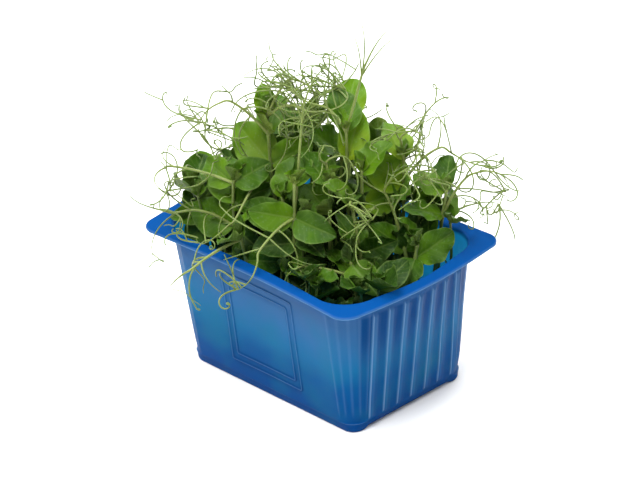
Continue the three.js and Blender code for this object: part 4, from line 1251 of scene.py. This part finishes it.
def addTube(parts, path, radii, sides, paleness):
    points, faces = tubeMesh(path, radii, sides)
    share = np.concatenate([np.repeat(np.linspace(*paleness, len(path)), sides), paleness])
    addPart(parts, points, faces, 2, np.outer(share, (1, 0, 0)))


def clearsAll(points, keep):
    return clearOfTray(points, keep).all() and clearOfCorners(points, keep).all()


def staysInside(path):
    low, high = (vec(*corner) / mm for corner in cadBox)
    spare = shootLook["boxSpare"]
    inBox = ((path > low - spare) & (path < high + spare)).all()
    inBox = inBox and (path[:, 0] + path[:, 1] > shootLook["leftEnd"]).all()
    return inBox and clearsAll(path, shootLook["trayGap"])


# Winds on from the end of a path, tighter and tighter and drifting sideways, where there is room for it. The
# first points, as many as known, stand already and aren't looked at.
def wound(path, axis, drift, known, random):
    turns, radius = random.uniform(*shootLook["curlTurns"]), random.uniform(*shootLook["curlRadius"])
    drift = random.uniform(-drift, drift)
    way = unit(path[-1] - path[-2])
    axis = unit(axis - way * (axis @ way) * 0.9)
    step = shootLook["curlStep"]
    count = int(turns * 2 * math.pi * radius * 0.7 / step)
    points = [*path]
    for index in range(count):
        tight = radius * mix(*shootLook["curlTightens"], smoothStep(index / max(count - 1, 1) * 1.25))
        way = unit(turned(way, axis, step / tight) + axis * drift * step)
        points.append(points[-1] + way * step)
    points = np.array(points)
    return points if staysInside(points[known:]) else path


def addTendril(parts, path, axis, radii, sides, random, curls=True):
    if curls and random.random() < shootLook["curlShare"]:
        path = wound(path, axis, 0.25, 0, random)
    addTube(parts, path, np.linspace(*radii, len(path)), sides, shootLook["tendrilPaleness"])


# A thin tendril that leaves a point in a sweep and coils up towards its end.
def sweep(start, way, length, random):
    axis = unit(random.normal(size=3))
    axis = unit(axis - way * (axis @ way))
    points, steps = [start], max(int(length), 8)
    early, late = [random.uniform(*bend) for bend in shootLook["fineBends"]]
    for step in range(steps):
        axis = unit(axis + random.normal(0, 0.05, 3))
        bend = mix(early, late, (step / steps) ** 2.5)
        way = unit(turned(way, axis, math.radians(bend)) - worldUp * shootLook["fineSag"])
        points.append(points[-1] + way * length / steps)
    return np.array(points), axis


# Thin tendrils along a path, and at depth 0 up to one more on each of them.
def addFineTendrils(parts, path, count, random, reach=1.0, depth=0):
    look = shootLook
    for number in range(count):
        index = random.integers(len(path) // 4, len(path) - 1)
        forward = unit(path[index + 1] - path[index])
        lean = vec(*look["topLean"]) * risen(path[index][2], *look["leanRise"])
        way = unit(forward * random.uniform(0.2, 1) + unit(random.normal(size=3)) * 0.8 + lean)
        fine, axis = sweep(path[index], way, reach * random.uniform(*look["fineLength"]), random)
        if staysInside(fine[3:]):
            radius = look["fineRadius"] * (0.85 if depth else 1)
            addTendril(parts, fine, axis, (radius, radius * 0.72), 4 if depth else 5, random)
            if depth == 0:
                addFineTendrils(parts, fine, random.integers(0, 2), random, reach * 0.6, 1)


# How young a leaf looks, with painted shade on low leaves and painted light on high ones far out.
def leafTone(root, look, random):
    height = root[2] / trayShape["height"]
    farX, farY = look["farOut"]
    outer = smoothStep(1.4 * math.hypot(root[0] / farX, root[1] / farY) - 0.5)
    outer = outer * smoothStep((height - 0.95) * 2.2)
    tone = look["rise"] * height + look["low"] + look["outer"] * outer + random.normal(0, look["spread"])
    return np.clip(tone, 0, mix(*look["most"], smoothStep((height - 0.85) * 1.6)) + look["mostOuter"] * outer)


# A leaf blade: two faces that close at the margin, with a sunk midrib, raised side veins and fine teeth.
# It lies flatter where it would touch the tray, and a plainer one is left out if that doesn't help.
def addLeaf(parts, leaf, random, rows=leafLook["rows"], columns=leafLook["columns"]):
    look = leafLook
    spread = np.linspace(-1, 1, columns)
    spread = np.sin(spread * math.pi / 2) * 0.35 + spread * 0.65  # closer at the margins
    part, side = bladeGrid(np.linspace(0.012, 0.985, rows), spread)
    along, across, face = bladeAxes(leaf)
    shift = random.uniform(0, 30)
    teeth = np.array([noise.noise(Vector((p * 9 + shift, s * 3, 0.5))) for p, s in zip(part, side)])
    steep, outline = np.abs(side), bladeOutline(part) * leaf["width"] / 2
    tooth = outline * side * look["tooth"] * 2 * teeth * steep ** 2
    base = bladePoints(leaf, part, side) + across * tooth[:, None]
    vein = look["veins"] * part - look["slant"] * steep + 0.5 * np.sin(part * 9 + shift)
    hill = 0.5 - 0.5 * np.cos(2 * math.pi * vein)
    grow = smoothStep(part * 8) * smoothStep((1 - part) * 6)
    lift = look["pucker"] * hill * (1 - steep) * smoothStep(steep * 6) * grow
    lift -= look["groove"] * lineMask(side, 0.1) * grow
    twist = math.radians(random.uniform(-look["twist"], look["twist"])) * part
    lift += np.sin(twist) * outline * side + random.uniform(*look["cup"]) * steep ** 2 * grow
    margin = 2 * math.pi * (2.6 * part + leaf["flutter"] * 3) + side * 2
    lift += look["ruffle"] * np.sin(margin) * steep ** 3 * grow
    for share in (1, 0.5, 0):
        middle = base + face * lift[:, None] * share
        if clearsAll(middle, look["trayGap"]):
            break
    else:
        if rows < look["rows"]:
            return
    half = face * (look["thickness"] / 2 * (1 - steep ** 4) * smoothStep(part * 10 + 0.3))[:, None]
    foot, tip = bladePoints(leaf, np.array([0.0, 1.0]), np.zeros(2))
    # the under side shares the upper side's margin, foot and tip
    upper = np.arange(rows * columns)
    inner = upper.reshape(rows, columns)[:, 1:-1].ravel()
    under = upper.copy()
    under[inner] = len(upper) + np.arange(len(inner))
    ends = len(upper) + len(inner) + np.arange(2)
    points = np.concatenate([middle + half, (middle - half)[inner], [foot, tip]])
    sheets = []
    for index in (upper, under):
        first, last = index[:columns], index[-columns:]
        sheets.append([*index[np.array(gridFaces(rows, columns))].tolist(),
                       *np.column_stack([np.repeat(ends[0], columns - 1), first[1:], first[:-1]]).tolist(),
                       *np.column_stack([np.repeat(ends[1], columns - 1), last[:-1], last[1:]]).tolist()])
    faces = [*sheets[0], *[corners[::-1] for corners in sheets[1]]]
    slots = [0] * len(sheets[0]) + [1] * len(sheets[1])
    tone = leafTone(leaf["root"], leafTones, random)
    tone = leaf.get("tone", tone)
    marks = np.column_stack([part, side, np.full(len(part), tone)])
    marks = np.concatenate([marks, marks[inner], [(0, 0, tone), (1, 0, tone)]])
    edge = np.zeros(len(points), bool)
    edge[[*upper[::columns], *upper[columns - 1::columns], *ends]] = True
    addPart(parts, points, faces, slots, marks, edge)
    petiole = np.array([leaf["root"] - along * 1.2, foot + along * 0.8, middle[columns * 2 + columns // 2]])
    addTube(parts, petiole, look["petiole"], 6, (0.3, 0.3))


# The folded young pair at a shoot's tip.
def addBud(parts, shoot, look, random):
    azimuth = random.uniform(0, 360)
    for turn in (0, 180):
        leaf = {
            "root": stemPoint(shoot, 0.99),
            "azimuth": azimuth + turn + random.uniform(*look["turn"]),
            **{key: random.uniform(*look[key]) for key in ("elevation", "roll", "length", "width")},
            "flutter": random.uniform(0, 1),
            "fold": look["fold"],
            "tone": mix(*look["tone"], risen(shoot["tip"][2], 80, 80)),
        }
        addLeaf(parts, leaf, random, *look["mesh"])


# A spray's stalk runs on into its first tendril, and the others leave it in pairs.
def addSpray(parts, spray, stalk, grown, look, random):
    curls = spray["curl"] >= look["straightBelow"]
    curve = smoothPath([*stalk, *(grown[0][0][1:] if grown else [])], look["pathSteps"])
    radii = np.interp(np.arange(len(curve)), [0, len(stalk) * look["pathSteps"], len(curve)],
                      [stalkHabit["rootRadius"], tendrilHabit["rootRadius"], look["tendrilTip"]])
    if grown and curls:
        curve = wound(curve, grown[0][1], 0.2, len(curve), random)
        radii = np.append(radii, np.full(len(curve) - len(radii), look["tendrilTip"]))
    addTube(parts, curve, radii, look["tendrilSides"], look["stalkPaleness"])
    if curls:
        fullness = np.clip((stalk[-1][2] - look["bareHeight"]) / look["fullHeight"], *look["fullness"])
        addFineTendrils(parts, curve, round(look["fineShare"] * spray["reach"] * fullness), random)
    radii = tendrilHabit["rootRadius"] * 0.9, look["tendrilTip"]
    for points, axis in grown[1:]:
        tendril = smoothPath(points, look["pathSteps"])
        if curls:
            addFineTendrils(parts, tendril, random.integers(0, 2), random, 0.6, 1)
        addTendril(parts, tendril, axis, radii, look["tendrilSides"], random, curls)


def makeShoot(plant, number, look, materials):
    random = np.random.default_rng(1000 + number)
    shoot, parts = plant["shoot"], newParts()
    share = np.linspace(0, 1, look["stemSteps"] + 1)
    path = np.array([stemPoint(shoot, part) for part in share])
    path[0] -= worldUp * look["stemSunk"]
    length = lengthOf(path[-1] - path[0])
    swell = sum(np.exp(-((share - min(node["at"], 0.99)) * length / look["nodeLength"]) ** 2)
                for node in shoot["nodes"])
    radii = np.linspace(stemHabit["footRadius"], stemHabit["tipRadius"], len(path)) * look["stemSlim"]
    addTube(parts, path, radii * (1 + look["nodeSwell"] * swell), look["stemSides"], look["stemPaleness"])
    addPea(parts, vec(*shoot["foot"], mediumShape["top"]) + vec(*look["peaPlace"]), 3, random)
    for spray, stalk, grown in plant["sprays"]:
        addSpray(parts, spray, stalk, grown, look, random)
    for leaf in plant["leaves"]:
        addLeaf(parts, leaf, random)
    addBud(parts, shoot, budLook, random)
    piece = buildPiece(parts, f"shoot_{number + 1:02d}_foliage", materials)
    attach(piece, "root")
    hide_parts(f"shoot_{number + 1:02d}")


# Smaller shoots fill the tray between the others, up to the lower leaves.
underShoots = {
    "spacing": (11.0, 9.5),  # mm
    "reach": (67.0, 40.0),
    "middle": (52, 26),  # half size of the field where they stand tallest
    "jitter": 3.4,
    "apart": 5.0,  # from the feet of the others
    "heights": {"middle": (64, 126), "front": (70, 94), "back": (92, 119)},
    "radii": (1.25, 0.8),
    "nodesBelow": (0, 17, 33, 49),  # mm below the tip
    "lowestNode": 0.2,  # of the stem
    "length": (20, 31),
    "slim": (0.6, 0.85),
    "elevation": (-5, 50),
    "roll": (-45, 45),
    "turn": (-25, 25),
    "fold": (0.2, 0.85),
    "attempts": 9,
    "room": 0.75,
    "mesh": (14, 9),
}


# Pairs of leaves at the nodes, each where it finds room between the walls and the leaves before it.
def addUnderLeaves(parts, shoot, owner, look, random):
    azimuth = random.uniform(0, 360)
    for below in look["nodesBelow"]:
        at = 0.98 - below / (shoot["tip"][2] - mediumShape["top"])
        azimuth += random.uniform(60, 120)
        for side in (0, 180) if at >= look["lowestNode"] else ():
            for attempt in range(look["attempts"]):
                length = random.uniform(*look["length"])
                leaf = {
                    "root": stemPoint(shoot, at),
                    "azimuth": azimuth + side + random.uniform(*look["turn"]) * (1 + attempt),
                    "elevation": random.uniform(*look["elevation"]),
                    "roll": random.uniform(*look["roll"]),
                    "length": length,
                    "width": length * random.uniform(*look["slim"]),
                    "fold": random.uniform(*look["fold"]),
                    "flutter": random.uniform(0, 1),
                }
                points = bladePoints(leaf, *sampleGrid)
                isWithin = points[:, 2] > trayShape["height"] + 1
                isWithin = (isWithin | (outsideRim(points) < -trayShape["flange"])).all()
                isWithin = isWithin and clearOfCorners(points, look["room"]).all()
                if isWithin and takeIfClear(points, look["room"], owner, leaf["root"]):
                    addLeaf(parts, leaf, random, *look["mesh"])
                    break


def makeUnderShoots(look, plants, materials):
    random = np.random.default_rng(41)
    feet = np.array([plant["shoot"]["foot"] for plant in plants])
    (reachX, reachY), (stepX, stepY) = look["reach"], look["spacing"]
    owner = len(plants)
    for row, y in enumerate(np.linspace(-reachY, reachY, round(2 * reachY / stepY) + 1)):
        parts = newParts()
        for x in np.arange(-reachX, reachX + 1, stepX):
            foot = vec(x + stepX / 2 * (row % 2), y) + random.uniform(-look["jitter"], look["jitter"], 2)
            if abs(foot[0]) > reachX or np.linalg.norm(feet - foot, axis=1).min() < look["apart"]:
                continue
            zone = "middle"
            if (np.abs(foot) > look["middle"]).any():
                zone = "front" if foot[0] / reachX - foot[1] / reachY > 0.3 else "back"
            height = random.uniform(*look["heights"][zone])
            tip = (*(foot + foot * random.uniform(0.04, 0.18)), height)
            shoot = {"foot": foot, "tip": tip, "bow": random.uniform(-3, 3, 2)}
            owner += 1
            path = np.array([stemPoint(shoot, part) for part in np.linspace(0, 1, 16)])
            if (clearOfTray(path[2:], 1.0) & clearOfCorners(path[2:], 2.0)).all():
                # painted shade: these stems are kept darker than the main stems, low in the tray
                addTube(parts, path - worldUp * 0.5, np.linspace(*look["radii"], len(path)), 7, (0.0, 0.3))
                addUnderLeaves(parts, shoot, owner, look, random)
                addBud(parts, shoot, budLook, random)
        piece = buildPiece(parts, f"small_shoots_{row + 1}", materials)
        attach(piece, "root")


plants = growAll([*shoots, *[plainShoot(*plain, number) for number, plain in enumerate(plainShoots)]])
print("growth:", sum(len(plant["leaves"]) for plant in plants), "leaves,",
      sum(len(grown) for plant in plants for spray, stalk, grown in plant["sprays"]), "tendrils")
shootMaterials = [leafSkin("peaLeafWaxed", peaLeaf), leafSkin("peaLeafUnderside", peaLeafBack),
                  stemSkin(peaStem), peaSkin(seedPea)]
for number, plant in enumerate(plants):
    makeShoot(plant, number, shootLook, shootMaterials)
makeUnderShoots(underShoots, plants, shootMaterials)
print("shoots: made")
makeMedium(mediumShape)
print("growing medium: crumbs, fibres and peas")


# Soft studio: white surroundings, a key lamp from the upper left, and weaker ones at the sides, above and
# behind.
studio = {
    "floorColours": [(0.0, "#f2f2f0"), (1.0, "#f6f6f4")],
    "floorReach": 6.0,  # metres
    "rollerMarks": 30.0,  # to the metre, coarser than real ones so that they show
    "surroundings": 0.36,
    "aim": (0, 0, 0.1),
    "lamps": {  # place, size in metres, watts
        "key": ((0.4, -0.95, 2.05), 0.9, 51),
        "left": ((-1.6, -0.2, 1.3), 1.4, 30),
        "right": ((1.5, 0.6, 2.1), 1.4, 16),
        "top": ((-0.3, 0.5, 2.3), 1.4, 43),
        "behind": ((-0.4, 1.7, 0.4), 0.9, 14),
    },
}


def paintedBoard(look):
    material, add = newMaterial("paintedBoard")  # matt white emulsion, faintly uneven from the roller
    place = add("TexCoord", {}).outputs["Object"]
    roller = add("TexNoise", {"Scale": look["rollerMarks"], "Detail": 2.0, "Vector": place})
    colour = add("ValToRGB", {"stops": look["floorColours"], "Fac": roller})
    paint = add("BsdfPrincipled", {"Base Color": colour, "Roughness": 0.9})
    add("OutputMaterial", {"Surface": paint})
    return material


def makeStudio(look):
    mesh = bpy.data.meshes.new("floor")
    corners = np.array([(-1, -1, 0), (1, -1, 0), (1, 1, 0), (-1, 1, 0)]) * look["floorReach"]
    mesh.from_pydata(corners.tolist(), [], [(0, 1, 2, 3)])
    mesh.materials.append(paintedBoard(look))
    floor = bpy.data.objects.new("floor", mesh)
    bpy.context.scene.collection.objects.link(floor)
    world = bpy.data.worlds.new("studio")
    world.use_nodes = True
    background = world.node_tree.nodes["Background"]
    background.inputs["Color"].default_value = (1, 1, 1, 1)
    background.inputs["Strength"].default_value = look["surroundings"]
    bpy.context.scene.world = world
    for name, (place, size, watts) in look["lamps"].items():
        data = bpy.data.lights.new(name, "AREA")
        data.size, data.energy = size, watts
        light = bpy.data.objects.new(name, data)
        light.location = place
        light.rotation_euler = (Vector(look["aim"]) - Vector(place)).to_track_quat("-Z", "Y").to_euler()
        bpy.context.scene.collection.objects.link(light)
    bpy.context.scene.view_settings.view_transform = "Standard"


makeStudio(studio)
print("studio: floor, lamps")
